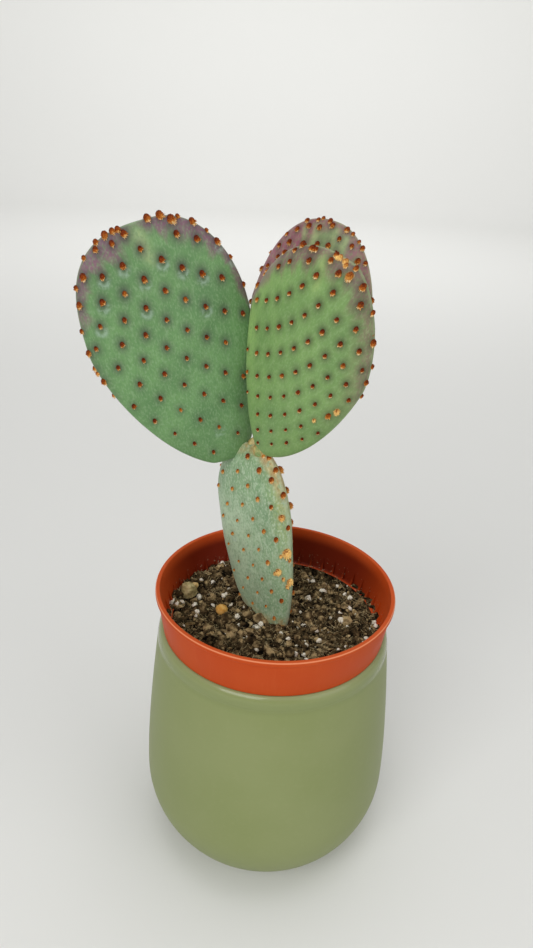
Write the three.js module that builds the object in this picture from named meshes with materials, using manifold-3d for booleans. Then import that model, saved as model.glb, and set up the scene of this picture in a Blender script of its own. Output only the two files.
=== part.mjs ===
// A paddle cactus of four pads, in a terracotta-coloured plastic nursery pot that hangs by its
// collar in a glazed ceramic outer pot. Millimetres and degrees, +Z up. The origin is the centre
// of the outer pot's flat foot; -Y is the front.
import * as THREE from 'three';
import { mergeVertices } from 'three/addons/utils/BufferGeometryUtils.js';
import Module from 'manifold-3d';

const wasm = await Module();
wasm.setup();

// ---------- driving dimensions ----------

const fitGap = 0.3;                  // left between pieces that touch

// The bends are the handles of the wall's curves: [radius, height], or the one of the two that varies.
const outerPot = {
  height: 121, wall: 3, footRadius: 38, bellyRadius: 59.9, bellyHeight: 38, mouthRadius: 54.2,
  floor: 5, facets: 36, lipRadius: 2.3, lipInner: 0.7,
  footBend: [47, 3], bellyBendLow: 19, bellyBendHigh: 62, neckBend: [56.5, 95],
  innerNeckBend: [53.4, 95], innerBellyBend: 21, floorBend: 46, floorReach: 36,
};

const innerPot = {
  rimHeight: 141, rimRadius: 55, lipDrop: 2.4, lipStep: 0.6, collarFoot: 51.7, wall: 1.4,
  shoulderRadius: 48.9, floorHeight: 43, floorRadius: 37, floorThickness: 1.8, facets: 36,
  lipRound: 0.5, drainHoles: 8, drainRadius: 3.5, drainCircle: 24, drillLength: 12, drillFacets: 10,
};
// A rib stands on the ledge inside the collar: foot is how far it runs into the wall, tipShare its
// depth higher up, tipReach how far its tip runs into the sloping wall.
const rib = {
  count: 48, height: 7.2, width: 1.1, depth: 1.6, foot: 0.9, sunk: 0.5, bendShare: 0.6, tipShare: 0.5,
  tipReach: 1.5,
};

const soilBed = {
  level: 120.5, riseToBack: 1.6, halfDepth: 48, lump: 0.9, brinkDrop: 4, facetSag: 0.2, rings: 5,
  spokes: 36, perlite: 40, perliteSize: 1.6, perliteMargin: 3.2, perliteLift: 0.15, seed: 11,
};

// Each pad stands in its own plane: u across, v from the root up to the tip. Its outline is four
// quarters of superellipses that meet at height `root`, with one exponent (full) for each quarter.
// yaw turns the right side forward, lean the top to the right, tilt the top forward. A heel is a
// swelling of the outline at one angle, as a share of the reach there.
const basePad = {
  name: 'base_pad', seed: 3, place: [0, 3, 108], yaw: 45, lean: -7.6, tilt: 3,
  left: 27.3, right: 17.45, tip: 33.1, root: 67.2,
  full: { tipLeft: 2.1, tipRight: 2.15, rootLeft: 2.22, rootRight: 2.28 },
  halfThickness: 7.5, bendRadius: Infinity, areoleSize: 1.15,
  areoles: {
    start: [-1.07, 58.28], stepA: [5.96, -5.62], stepB: [-4.56, -9.32],
    curveAA: [-0.4, 0.13], curveAB: [0.24, -0.49], curveBB: [-0.31, 0.32],
  },
};
const leftPad = {
  name: 'left_pad', seed: 5, place: [-30.4, 8.5, 198.1], yaw: -24, lean: -13.5, tilt: -3,
  left: 37.6, right: 30.5, tip: 43.8, root: 60.4,
  full: { tipLeft: 3, tipRight: 2.04, rootLeft: 1.45, rootRight: 1.93 },
  heel: { angle: -73.6, spread: 11.7, share: 0.13 },
  halfThickness: 5.3, bendRadius: Infinity, areoleSize: 1,
  areoles: {
    start: [-5.52, 67.0], stepA: [6.72, -6.28], stepB: [-2.64, -10.69],
    curveAA: [0.135, 0.32], curveAB: [-0.044, -0.53], curveBB: [-0.277, 0.215],
  },
};
const frontPad = {
  name: 'right_front_pad', seed: 7, place: [-11, 4, 206], yaw: 34, lean: 25.3, tilt: 2,
  left: 37, right: 25, tip: 41, root: 52,
  full: { tipLeft: 2.2, tipRight: 1.6, rootLeft: 1.2, rootRight: 1.9 },
  halfThickness: 5.6, bendRadius: 75, areoleSize: 0.95,
  areoles: {
    start: [-6.7, 68.0], stepA: [9.8, -1.4], stepB: [6.4, -7.7],
    curveAA: [-0.61, 0.5], curveAB: [-0.64, 0.41], curveBB: [-0.35, 0.17],
  },
};
const backPad = {
  name: 'right_back_pad', seed: 9, place: [-10.5, 10, 206], yaw: 34, lean: 13.3, tilt: -9,
  left: 31, right: 26, tip: 41, root: 56.5,
  full: { tipLeft: 2.25, tipRight: 1.85, rootLeft: 1.2, rootRight: 2 },
  halfThickness: 4.4, bendRadius: 85, areoleSize: 0.95,
  areoles: {
    start: [-4.0, 66.0], stepA: [9.8, -1.4], stepB: [6.4, -7.7],
    curveAA: [-0.61, 0.5], curveAB: [-0.64, 0.41], curveBB: [-0.35, 0.17],
  },
};

// The necks that join the three upper pads to the base pad's top edge.
const necks = {
  left_pad: { centre: [-20.2, 14.6, 201.1], radii: [4.6, 3.2, 4.6] },
  right_front_pad: { centre: [-9, 4.6, 206], radii: [4.6, 3.2, 4] },
  right_back_pad: { centre: [-11, 10.5, 206], radii: [5, 3, 4] },
};

const padMesh = { rings: [0.4, 0.72, 0.89, 0.975], spokes: 30, crown: 2.4 };
// An areole's cone is flare times wider at its foot, below the skin, than its radius there. Its size
// grows with its height on the pad, from lowSize by growth. Rim areoles stand rimPitch apart, give or
// take, and not within rimClear of one on a face.
const areole = {
  radius: 1.25, height: 1.3, sunk: 0.7, sides: 4, flare: 1.3, lowSize: 0.72, growth: 0.36,
  faceEdge: 0.945, fold: 0.3, clear: 1.8, aboveSoil: 3.2,
  rimRatio: 0.995, rimPitch: 7.8, rimLeast: 0.7, rimVary: 0.6, rimStart: -35, rimEnd: 215,
  rimBoost: 1.15, rimClear: 3.4,
};
const ballMesh = { spokes: 10, rings: 7 };      // of necks and stones

const stones = [
  { name: 'clay_ball', place: [-25, 5, 121], radii: [3, 2.9, 2.7], rough: 0, colour: 0xc08a45 },
  { name: 'tan_stone', place: [-41.8, 14.4, 124.6], radii: [3.8, 3.5, 4.4], rough: 0.1, colour: 0xb9a27c },
  {
    name: 'yellow_pebble', place: [-39.6, 21.4, 122.8], radii: [1.9, 1.7, 1.6], rough: 0.08, colour: 0xc9ab55,
  },
];

// ---------- helpers ----------

const radians = THREE.MathUtils.degToRad;

function seededRandom(seed) {
  let state = seed;
  return () => {
    state = (state * 16807) % 2147483647;
    return state / 2147483647;
  };
}

function toSolid(geometry) {
  const bare = geometry.clone();
  bare.deleteAttribute('normal');
  bare.deleteAttribute('uv');
  const closed = mergeVertices(bare, 1e-4);
  const vertProperties = new Float32Array(closed.attributes.position.array);
  const triVerts = new Uint32Array(closed.index.array);
  return new wasm.Manifold(new wasm.Mesh({ numProp: 3, vertProperties, triVerts }));
}

function toGeometry(solid) {
  const mesh = solid.getMesh();
  const geometry = new THREE.BufferGeometry();
  geometry.setAttribute('position', new THREE.BufferAttribute(mesh.vertProperties, 3));
  geometry.setIndex(new THREE.BufferAttribute(mesh.triVerts, 1));
  return geometry;
}

function material(colour, roughness, metalness = 0) {
  return new THREE.MeshStandardMaterial({ color: colour, roughness, metalness, flatShading: true });
}

// A body turned about the Z axis from a path of radius and height.
function lathe(path, divisions, facets) {
  return new THREE.LatheGeometry(path.getPoints(divisions), facets).rotateX(Math.PI / 2);
}

// ---------- outer pot ----------

function makeOuterPot() {
  const pot = outerPot;
  const belly = pot.bellyRadius;
  const inside = belly - pot.wall;
  const lipHeight = pot.height - pot.lipRadius;
  const innerLip = pot.mouthRadius - pot.wall + pot.lipInner;
  const profile = new THREE.Path();
  profile.moveTo(0, 0);
  profile.lineTo(pot.footRadius, 0);
  profile.bezierCurveTo(...pot.footBend, belly, pot.bellyBendLow, belly, pot.bellyHeight);
  profile.bezierCurveTo(belly, pot.bellyBendHigh, ...pot.neckBend, pot.mouthRadius, lipHeight);
  profile.absarc(pot.mouthRadius - pot.lipRadius, lipHeight, pot.lipRadius, 0, Math.PI / 2, false);
  profile.absarc(innerLip, pot.height - pot.lipInner, pot.lipInner, Math.PI / 2, Math.PI, false);
  profile.bezierCurveTo(...pot.innerNeckBend, inside, pot.bellyBendHigh, inside, pot.bellyHeight);
  profile.bezierCurveTo(inside, pot.innerBellyBend, pot.floorBend, pot.floor, pot.floorReach, pot.floor);
  profile.lineTo(0, pot.floor);
  const mesh = new THREE.Mesh(lathe(profile, 4, pot.facets), material(0x8a9166, 0.32));
  mesh.name = 'outer_pot';
  return mesh;
}

// ---------- nursery pot ----------

function makeRibs() {
  const ledge = outerPot.height + fitGap + innerPot.wall;
  const wallRadius = innerPot.collarFoot - innerPot.wall;
  const shape = new THREE.Shape();
  shape.moveTo(wallRadius + rib.foot, ledge - rib.sunk);
  shape.lineTo(wallRadius - rib.depth, ledge - rib.sunk);
  shape.lineTo(wallRadius - rib.depth * rib.tipShare, ledge + rib.height * rib.bendShare);
  shape.lineTo(wallRadius + rib.tipReach, ledge + rib.height);
  const blade = new THREE.ExtrudeGeometry(shape, { depth: rib.width, bevelEnabled: false });
  blade.translate(0, 0, -rib.width / 2);
  blade.rotateX(Math.PI / 2);
  const one = toSolid(blade);
  const ribs = [];
  for (let i = 0; i < rib.count; i += 1) {
    ribs.push(one.rotate([0, 0, (i * 360) / rib.count]));
  }
  return wasm.Manifold.union(ribs);
}

function makeDrainHoles() {
  const { drainRadius, drillLength, drillFacets } = innerPot;
  const hole = new THREE.CylinderGeometry(drainRadius, drainRadius, drillLength, drillFacets);
  hole.rotateX(Math.PI / 2);
  hole.translate(innerPot.drainCircle, 0, innerPot.floorHeight);
  const one = toSolid(hole);
  const holes = [];
  for (let i = 0; i < innerPot.drainHoles; i += 1) {
    holes.push(one.rotate([0, 0, (i * 360) / innerPot.drainHoles]));
  }
  return wasm.Manifold.union(holes);
}

function makeInnerPot() {
  const pot = innerPot;
  const seat = outerPot.height + fitGap;
  const lipUnder = pot.rimHeight - pot.lipDrop;
  const profile = new THREE.Path();
  profile.moveTo(0, pot.floorHeight);
  profile.lineTo(pot.floorRadius, pot.floorHeight);
  profile.lineTo(pot.shoulderRadius, seat);
  profile.lineTo(pot.collarFoot, seat);
  profile.lineTo(pot.rimRadius - pot.lipStep, lipUnder);
  profile.lineTo(pot.rimRadius, lipUnder + pot.lipRound);
  profile.lineTo(pot.rimRadius, pot.rimHeight - pot.lipRound);
  profile.lineTo(pot.rimRadius - pot.lipRound, pot.rimHeight);
  profile.lineTo(pot.rimRadius - pot.lipStep - pot.wall, pot.rimHeight);
  profile.lineTo(pot.collarFoot - pot.wall, seat + pot.wall);
  profile.lineTo(pot.shoulderRadius - pot.wall, seat + pot.wall);
  profile.lineTo(pot.floorRadius - pot.wall, pot.floorHeight + pot.floorThickness);
  profile.lineTo(0, pot.floorHeight + pot.floorThickness);
  const wall = toSolid(lathe(profile, 1, pot.facets));
  const shell = wall.add(makeRibs()).subtract(makeDrainHoles());
  const mesh = new THREE.Mesh(toGeometry(shell), material(0xb54f29, 0.45));
  mesh.name = 'nursery_pot';
  return mesh;
}

// ---------- pads ----------

function outlineRadius(pad, angle) {
  const across = Math.cos(angle);
  const along = Math.sin(angle);
  const width = across > 0 ? pad.right : pad.left;
  const height = along > 0 ? pad.tip : pad.root;
  const side = across > 0 ? 'Right' : 'Left';
  const power = along > 0 ? pad.full[`tip${side}`] : pad.full[`root${side}`];
  const plain = (Math.abs(across / width) ** power + Math.abs(along / height) ** power) ** (-1 / power);
  if (!pad.heel) {
    return plain;
  }
  const turn = THREE.MathUtils.euclideanModulo(angle - radians(pad.heel.angle) + Math.PI, 2 * Math.PI);
  const gap = (turn - Math.PI) / radians(pad.heel.spread);
  return plain * (1 + pad.heel.share * Math.exp(-gap * gap));
}

function padHalfThickness(pad, ratio) {
  return pad.halfThickness * Math.sqrt(Math.max(0, 1 - ratio ** padMesh.crown));
}

// A point of a pad's skin: face is -1 in front, +1 behind; ratio runs from the middle to the rim.
function padPoint(pad, ratio, angle, face) {
  const reach = outlineRadius(pad, angle) * ratio;
  const u = reach * Math.cos(angle);
  const v = pad.root + reach * Math.sin(angle);
  const bend = (u * u) / (2 * pad.bendRadius);
  return new THREE.Vector3(u, bend + face * padHalfThickness(pad, ratio), v);
}

function padGeometry(pad, grow = 0) {
  const bigger = {
    ...pad, left: pad.left + grow, right: pad.right + grow, tip: pad.tip + grow,
    root: pad.root + grow, halfThickness: pad.halfThickness + grow,
  };
  const spokes = padMesh.spokes;
  const points = [];
  const index = [];
  const addFace = (face) => {
    const start = points.length;
    points.push(padPoint(bigger, 0, 0, face));
    for (const ratio of padMesh.rings) {
      for (let i = 0; i < spokes; i += 1) {
        points.push(padPoint(bigger, ratio, (i * 2 * Math.PI) / spokes, face));
      }
    }
    return start;
  };
  const front = addFace(-1);
  const back = addFace(1);
  const rim = points.length;
  for (let i = 0; i < spokes; i += 1) {
    points.push(padPoint(bigger, 1, (i * 2 * Math.PI) / spokes, 1));
  }
  const triangle = (a, b, c, flip) => index.push(...(flip ? [a, c, b] : [a, b, c]));
  for (const [start, flip] of [[front, false], [back, true]]) {
    const rows = padMesh.rings.map((_, row) => start + 1 + row * spokes);
    rows.push(rim);
    for (let i = 0; i < spokes; i += 1) {
      const next = (i + 1) % spokes;
      triangle(start, rows[0] + i, rows[0] + next, flip);
      for (let row = 0; row + 1 < rows.length; row += 1) {
        triangle(rows[row] + i, rows[row + 1] + i, rows[row + 1] + next, flip);
        triangle(rows[row] + i, rows[row + 1] + next, rows[row] + next, flip);
      }
    }
  }
  const geometry = new THREE.BufferGeometry();
  geometry.setAttribute('position', new THREE.Float32BufferAttribute(points.flatMap((p) => p.toArray()), 3));
  geometry.setIndex(index);
  if (grow) {
    geometry.translate(0, 0, -grow / 2);
  }
  return geometry;
}

function padPlacement(pad) {
  const turn = new THREE.Euler(radians(pad.tilt), radians(pad.lean), -radians(pad.yaw), 'ZYX');
  const matrix = new THREE.Matrix4().makeRotationFromEuler(turn);
  return matrix.setPosition(new THREE.Vector3(...pad.place));
}

// True where a point in the common frame is inside a pad that is grown by margin.
function insidePad(pad, point, margin) {
  const local = point.clone().applyMatrix4(padPlacement(pad).invert());
  const along = local.z - pad.root;
  const angle = Math.atan2(along, local.x);
  const ratio = Math.hypot(local.x, along) / (outlineRadius(pad, angle) + margin);
  if (ratio >= 1) {
    return false;
  }
  const bend = (local.x * local.x) / (2 * pad.bendRadius);
  return Math.abs(local.y - bend) < padHalfThickness(pad, ratio) + margin;
}

function insideNeck(point, margin) {
  return Object.values(necks).some(({ centre, radii }) => {
    const parts = point.toArray().map((value, k) => (value - centre[k]) / (radii[k] + margin));
    return Math.hypot(...parts) < 1;
  });
}

// Areoles stand where two families of slightly curved rows cross.
function latticePoint(rule, a, b) {
  return [0, 1].map((k) => rule.start[k] + a * rule.stepA[k] + b * rule.stepB[k]
    + a * a * rule.curveAA[k] + a * b * rule.curveAB[k] + b * b * rule.curveBB[k]);
}

function latticeSpread(rule, a, b) {
  const alongA = [0, 1].map((k) => rule.stepA[k] + 2 * a * rule.curveAA[k] + b * rule.curveAB[k]);
  const alongB = [0, 1].map((k) => rule.stepB[k] + 2 * b * rule.curveBB[k] + a * rule.curveAB[k]);
  return (alongA[0] * alongB[1] - alongA[1] * alongB[0])
    / (rule.stepA[0] * rule.stepB[1] - rule.stepA[1] * rule.stepB[0]);
}

function faceAreoles(pad) {
  const spots = [];
  for (let a = -10; a <= 10; a += 1) {
    for (let b = -10; b <= 12; b += 1) {
      const [u, v] = latticePoint(pad.areoles, a, b);
      const angle = Math.atan2(v - pad.root, u);
      const ratio = Math.hypot(u, v - pad.root) / outlineRadius(pad, angle);
      if (ratio < areole.faceEdge && latticeSpread(pad.areoles, a, b) > areole.fold) {
        spots.push({ ratio, angle, face: -1 });
        spots.push({ ratio, angle: Math.PI - angle, face: 1 });
      }
    }
  }
  return spots;
}

function rimAreoles(pad, faceSpots) {
  const random = seededRandom(pad.seed);
  const taken = faceSpots.map((spot) => padPoint(pad, spot.ratio, spot.angle, spot.face));
  const spots = [];
  let angle = radians(areole.rimStart);
  let side = 1;
  while (angle < radians(areole.rimEnd)) {
    const here = padPoint(pad, areole.rimRatio, angle, side);
    if (taken.every((point) => point.distanceTo(here) > areole.rimClear)) {
      spots.push({ ratio: areole.rimRatio, angle, face: side });
    }
    angle += (areole.rimPitch * (areole.rimLeast + areole.rimVary * random())) / outlineRadius(pad, angle);
    side = -side;
  }
  return spots;
}

function areoleSolid(pad, spot) {
  const here = padPoint(pad, spot.ratio, spot.angle, spot.face);
  const inner = padPoint(pad, spot.ratio - 0.01, spot.angle, spot.face);
  const aside = padPoint(pad, spot.ratio, spot.angle + 0.01, spot.face);
  const outward = new THREE.Vector3().crossVectors(inner.sub(here), aside.sub(here)).normalize();
  const centre = new THREE.Vector3(0, (here.x * here.x) / (2 * pad.bendRadius), pad.root);
  if (outward.dot(here.clone().sub(centre)) < 0) {
    outward.negate();
  }
  const upward = here.z / (pad.root + pad.tip);
  const boost = spot.ratio > areole.faceEdge ? areole.rimBoost : 1;
  const size = pad.areoleSize * (areole.lowSize + areole.growth * upward) * boost;
  const height = (areole.height + areole.sunk) * size;
  const cone = new THREE.ConeGeometry(areole.radius * areole.flare * size, height, areole.sides);
  cone.translate(0, height / 2 - areole.sunk * size, 0);
  cone.applyQuaternion(new THREE.Quaternion().setFromUnitVectors(new THREE.Vector3(0, 1, 0), outward));
  cone.translate(here.x, here.y, here.z);
  const tipPoint = here.clone().addScaledVector(outward, areole.height * size);
  return { cone, ends: [here, tipPoint] };
}

// A neck in the common frame.
function neckGeometry(pad, grow = 0) {
  const { centre, radii } = necks[pad.name];
  const geometry = new THREE.SphereGeometry(1, ballMesh.spokes, ballMesh.rings);
  geometry.scale(radii[0] + grow, radii[1] + grow, radii[2] + grow);
  return geometry.translate(...centre);
}

function makePad(pad, others, cutters) {
  const matrix = padPlacement(pad);
  const faceSpots = faceAreoles(pad);
  const spots = [...faceSpots, ...rimAreoles(pad, faceSpots)];
  const toLocal = matrix.clone().invert();
  let solid = toSolid(padGeometry(pad));
  if (necks[pad.name]) {
    solid = solid.add(toSolid(neckGeometry(pad).applyMatrix4(toLocal)));
  }
  const tufts = [];
  for (const spot of spots) {
    const { cone, ends } = areoleSolid(pad, spot);
    const places = ends.map((end) => end.clone().applyMatrix4(matrix));
    const blocked = places.some((place) => insideNeck(place, areole.clear)
      || others.some((other) => insidePad(other, place, areole.clear)));
    if (!blocked && places[0].z > soilBed.level + areole.aboveSoil) {
      tufts.push(toSolid(cone));
    }
  }
  solid = solid.add(wasm.Manifold.union(tufts));
  for (const cutter of cutters) {
    const tool = padGeometry(cutter, fitGap).applyMatrix4(padPlacement(cutter));
    solid = solid.subtract(toSolid(tool.applyMatrix4(toLocal)));
    if (necks[cutter.name]) {
      solid = solid.subtract(toSolid(neckGeometry(cutter, fitGap).applyMatrix4(toLocal)));
    }
  }
  const parts = solid.decompose();
  parts.sort((a, b) => b.volume() - a.volume());
  const mesh = new THREE.Mesh(toGeometry(parts[0]), material(0x5f9a5b, 0.5));
  mesh.name = pad.name;
  mesh.position.set(...pad.place);
  mesh.rotation.set(radians(pad.tilt), radians(pad.lean), -radians(pad.yaw), 'ZYX');
  return mesh;
}

// ---------- soil and stones ----------

function stoneGeometry(stone, grow = 0) {
  const ball = new THREE.SphereGeometry(1, ballMesh.spokes, ballMesh.rings);
  const geometry = mergeVertices(ball, 1e-3);
  const position = geometry.attributes.position;
  for (let i = 0; i < position.count; i += 1) {
    const point = new THREE.Vector3().fromBufferAttribute(position, i);
    const bump = 1 + stone.rough * Math.sin(3.1 * point.x + 1.3) * Math.cos(2.7 * point.y - 2 * point.z);
    position.setXYZ(i, point.x * bump, point.y * bump, point.z * bump);
  }
  geometry.scale(stone.radii[0] + grow, stone.radii[1] + grow, stone.radii[2] + grow);
  return geometry;
}

function makeStone(stone) {
  const mesh = new THREE.Mesh(stoneGeometry(stone), material(stone.colour, 0.8));
  mesh.name = stone.name;
  mesh.position.set(...stone.place);
  return mesh;
}

function soilHeight(x, y) {
  const ripple = Math.sin(0.31 * x + 1.1) * Math.cos(0.27 * y) + 0.6 * Math.sin(0.62 * y - 0.4 * x);
  return soilBed.level + soilBed.riseToBack * (y / soilBed.halfDepth) + soilBed.lump * ripple;
}

// The soil's radius at a height: the nursery pot's inside, less the gap and the facets' sag.
function soilRadius(height) {
  const pot = innerPot;
  const low = pot.floorHeight + pot.floorThickness;
  const high = outerPot.height + fitGap + pot.wall;
  const share = (height - low) / (high - low);
  const inside = THREE.MathUtils.lerp(pot.floorRadius, pot.shoulderRadius, share) - pot.wall;
  return inside - fitGap - soilBed.facetSag;
}

function soilGeometry() {
  const floor = innerPot.floorHeight + innerPot.floorThickness + fitGap;
  const brink = soilBed.level - soilBed.brinkDrop;
  const topRadius = soilRadius(brink);
  const { rings, spokes } = soilBed;
  const points = [new THREE.Vector3(0, 0, soilHeight(0, 0))];
  for (let ring = 1; ring <= rings; ring += 1) {
    const radius = (topRadius * ring) / rings;
    for (let i = 0; i < spokes; i += 1) {
      const turn = (i * 2 * Math.PI) / spokes;
      const x = radius * Math.cos(turn);
      const y = radius * Math.sin(turn);
      points.push(new THREE.Vector3(x, y, soilHeight(x, y)));
    }
  }
  const skirts = [
    { radius: topRadius, z: brink },
    { radius: soilRadius(floor), z: floor },
  ];
  for (const skirt of skirts) {
    for (let i = 0; i < spokes; i += 1) {
      const turn = (i * 2 * Math.PI) / spokes;
      points.push(new THREE.Vector3(skirt.radius * Math.cos(turn), skirt.radius * Math.sin(turn), skirt.z));
    }
  }
  points.push(new THREE.Vector3(0, 0, floor));
  const index = [];
  const rows = rings + skirts.length;
  for (let i = 0; i < spokes; i += 1) {
    const next = (i + 1) % spokes;
    index.push(0, 1 + i, 1 + next);
    for (let row = 0; row + 1 < rows; row += 1) {
      const inner = 1 + row * spokes;
      const outer = inner + spokes;
      index.push(inner + i, outer + i, outer + next, inner + i, outer + next, inner + next);
    }
    const last = 1 + (rows - 1) * spokes;
    index.push(last + i, points.length - 1, last + next);
  }
  const geometry = new THREE.BufferGeometry();
  geometry.setAttribute('position', new THREE.Float32BufferAttribute(points.flatMap((p) => p.toArray()), 3));
  geometry.setIndex(index);
  return geometry;
}

function makeSoil() {
  const random = seededRandom(soilBed.seed);
  const grains = [];
  const reach = innerPot.shoulderRadius - innerPot.wall - soilBed.perliteMargin;
  while (grains.length < soilBed.perlite) {
    const radius = reach * Math.sqrt(random());
    const turn = 2 * Math.PI * random();
    const x = radius * Math.cos(turn);
    const y = radius * Math.sin(turn);
    const size = soilBed.perliteSize * (0.7 + 0.6 * random());
    const grain = new THREE.OctahedronGeometry(size, 0);
    grain.rotateX(random() * 3);
    grain.rotateY(random() * 3);
    grain.translate(x, y, soilHeight(x, y) + soilBed.perliteLift * size);
    grains.push(toSolid(grain));
  }
  let solid = toSolid(soilGeometry()).add(wasm.Manifold.union(grains));
  const socket = padGeometry(basePad, fitGap);
  socket.applyMatrix4(padPlacement(basePad));
  solid = solid.subtract(toSolid(socket));
  for (const stone of stones) {
    const pocket = stoneGeometry(stone, fitGap);
    pocket.translate(...stone.place);
    solid = solid.subtract(toSolid(pocket));
  }
  const parts = solid.decompose();
  parts.sort((a, b) => b.volume() - a.volume());
  const mesh = new THREE.Mesh(toGeometry(parts[0]), material(0x4a3d30, 0.95));
  mesh.name = 'soil';
  return mesh;
}

// ---------- assembly ----------

const plant = new THREE.Group();
plant.add(
  makePad(basePad, [leftPad, frontPad, backPad], []),
  makePad(leftPad, [basePad, frontPad, backPad], [basePad, frontPad]),
  makePad(frontPad, [basePad, leftPad, backPad], [basePad]),
  makePad(backPad, [basePad, leftPad, frontPad], [basePad, leftPad, frontPad]),
);

const group = new THREE.Group();
group.add(makeOuterPot(), makeInnerPot(), makeSoil(), ...stones.map(makeStone), plant);

export default group;
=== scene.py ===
# A paddle cactus of four pads, in a nursery pot that hangs by its collar in a glazed outer pot.
# Metres, +Z up, -Y is the front. The origin is the centre of the outer pot's foot.
import math

import bpy
import numpy as np
from mathutils import Euler, Matrix, Vector, noise


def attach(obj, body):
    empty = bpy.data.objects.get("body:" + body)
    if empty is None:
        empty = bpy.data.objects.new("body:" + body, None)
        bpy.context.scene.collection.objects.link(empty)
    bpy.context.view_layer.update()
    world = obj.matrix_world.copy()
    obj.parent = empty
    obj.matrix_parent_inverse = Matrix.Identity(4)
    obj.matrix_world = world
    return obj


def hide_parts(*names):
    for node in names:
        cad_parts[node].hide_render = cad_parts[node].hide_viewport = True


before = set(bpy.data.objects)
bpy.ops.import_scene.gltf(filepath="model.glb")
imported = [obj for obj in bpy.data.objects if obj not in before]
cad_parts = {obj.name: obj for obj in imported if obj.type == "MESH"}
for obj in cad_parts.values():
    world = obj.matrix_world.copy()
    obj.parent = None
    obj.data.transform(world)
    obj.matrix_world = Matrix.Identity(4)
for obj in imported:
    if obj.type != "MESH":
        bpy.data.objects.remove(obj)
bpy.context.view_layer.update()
print("frame loaded")

# The camera, fitted to the photo's rim, collar, lip and foot.
view = {
    "place": (-0.007, -0.2849, 0.3365), "lookDown": 26.06, "roll": -3.11,
    "focalPixels": 740, "frameWidth": 533, "frameHeight": 948, "sensor": 36,
}


def cameraAxes():
    down, roll = math.radians(view["lookDown"]), math.radians(view["roll"])
    ahead = Vector((0, math.cos(down), -math.sin(down)))
    level = Vector((1, 0, 0))
    above = level.cross(ahead)
    right = level * math.cos(roll) - above * math.sin(roll)
    up = level * math.sin(roll) + above * math.cos(roll)
    return right, up, ahead


def sightLine(column, row):  # the direction in which the camera sees a pixel of its 533 x 948 frame
    right, up, ahead = cameraAxes()
    across = (column - view["frameWidth"] / 2) / view["focalPixels"]
    above = (view["frameHeight"] / 2 - row) / view["focalPixels"]
    return (ahead + right * across + up * above).normalized()


def makeCamera():
    right, up, ahead = cameraAxes()
    lens = bpy.data.cameras.new("camera")
    lens.sensor_fit = "VERTICAL"
    lens.sensor_height = view["sensor"]
    lens.lens = view["sensor"] * view["focalPixels"] / view["frameHeight"]
    lens.clip_start, lens.clip_end = 0.01, 50
    camera = bpy.data.objects.new("camera", lens)
    turn = Matrix((right, up, -ahead)).transposed().to_4x4()
    camera.matrix_world = Matrix.Translation(view["place"]) @ turn
    bpy.context.scene.collection.objects.link(camera)
    bpy.context.scene.camera = camera


makeCamera()
print("camera set")


def meshPiece(name, points, faces, finish=None):
    mesh = bpy.data.meshes.new(name)
    mesh.from_pydata([tuple(point) for point in points], [], faces)
    mesh.update()
    mesh.shade_smooth()
    if finish:
        mesh.materials.append(finish)
    piece = bpy.data.objects.new(name, mesh)
    bpy.context.scene.collection.objects.link(piece)
    return piece


def storeValues(piece, **layers):  # a layer is a number or a vector for each point
    for name, values in layers.items():
        values = np.asarray(values, dtype=np.float32)
        kind, key = ("FLOAT_VECTOR", "vector") if values.ndim == 2 else ("FLOAT", "value")
        piece.data.attributes.new(name, kind, "POINT").data.foreach_set(key, values.ravel())


def settle(piece, slot, *nodes):  # every piece belongs to the one body
    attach(piece, "root")
    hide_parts(*nodes)


def bezier(start, first, second, end, steps):
    t = np.linspace(0, 1, steps + 1)[1:, None]
    bend = (1 - t) ** 3 * start + 3 * (1 - t) ** 2 * t * first + 3 * (1 - t) * t ** 2 * second + t ** 3 * end
    return bend.tolist()


def arc(centre, radius, start, end, steps):
    turns = np.radians(np.linspace(start, end, steps + 1))
    return [[centre[0] + radius * math.cos(t), centre[1] + radius * math.sin(t)] for t in turns]


def ringRows(rows):  # faces between rows of equal rings; a row is (first index, count)
    faces = []
    for (low, lowCount), (high, highCount) in zip(rows, rows[1:]):
        count = max(lowCount, highCount)
        for i in range(count):
            j = (i + 1) % count
            face = [low + i, low + j] if lowCount > 1 else [low]
            face += [high + j, high + i] if highCount > 1 else [high]
            faces.append(face)
    return faces


def latheMesh(profile, facets):  # the profile runs from the axis up the outside and back down the inside
    points, rows = [], []
    for radius, height in profile:
        count = facets if radius > 1e-7 else 1
        rows.append((len(points), count))
        for i in range(count):
            turn = 2 * math.pi * i / count
            points.append((radius * math.cos(turn), radius * math.sin(turn), height))
    return points, ringRows(rows)


def addPart(points, faces, part, partFaces):  # joins one more part to a mesh that is being listed
    faces += [[len(points) + k for k in face] for face in partFaces]
    points += np.array(part).tolist()


# Helpers for node trees. A value for an input is a number, a vector or a socket.


def fill(tree, node, inputs):
    for key, value in inputs.items():
        if isinstance(value, bpy.types.NodeSocket):
            tree.links.new(value, node.inputs[key])
        else:
            node.inputs[key].default_value = value


def addNode(tree, kind, inputs=None, **settings):
    node = tree.nodes.new(kind)
    for key, value in settings.items():
        setattr(node, key, value)
    fill(tree, node, inputs or {})
    return node


def wire(tree, kind, inputs=None, output=0, **settings):  # one output of a new node
    return addNode(tree, kind, inputs, **settings).outputs[output]


def calc(tree, operation, *values, clamp=False):
    return wire(tree, "ShaderNodeMath", dict(enumerate(values)), operation=operation, use_clamp=clamp)


def times(tree, value, *factors):
    for factor in factors:
        value = calc(tree, "MULTIPLY", value, factor)
    return value


def vectorCalc(tree, operation, *values, output=0):
    return wire(tree, "ShaderNodeVectorMath", dict(enumerate(values)), output, operation=operation)


def scaleVector(tree, vector, factors):
    return vectorCalc(tree, "MULTIPLY", vector, factors)


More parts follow.
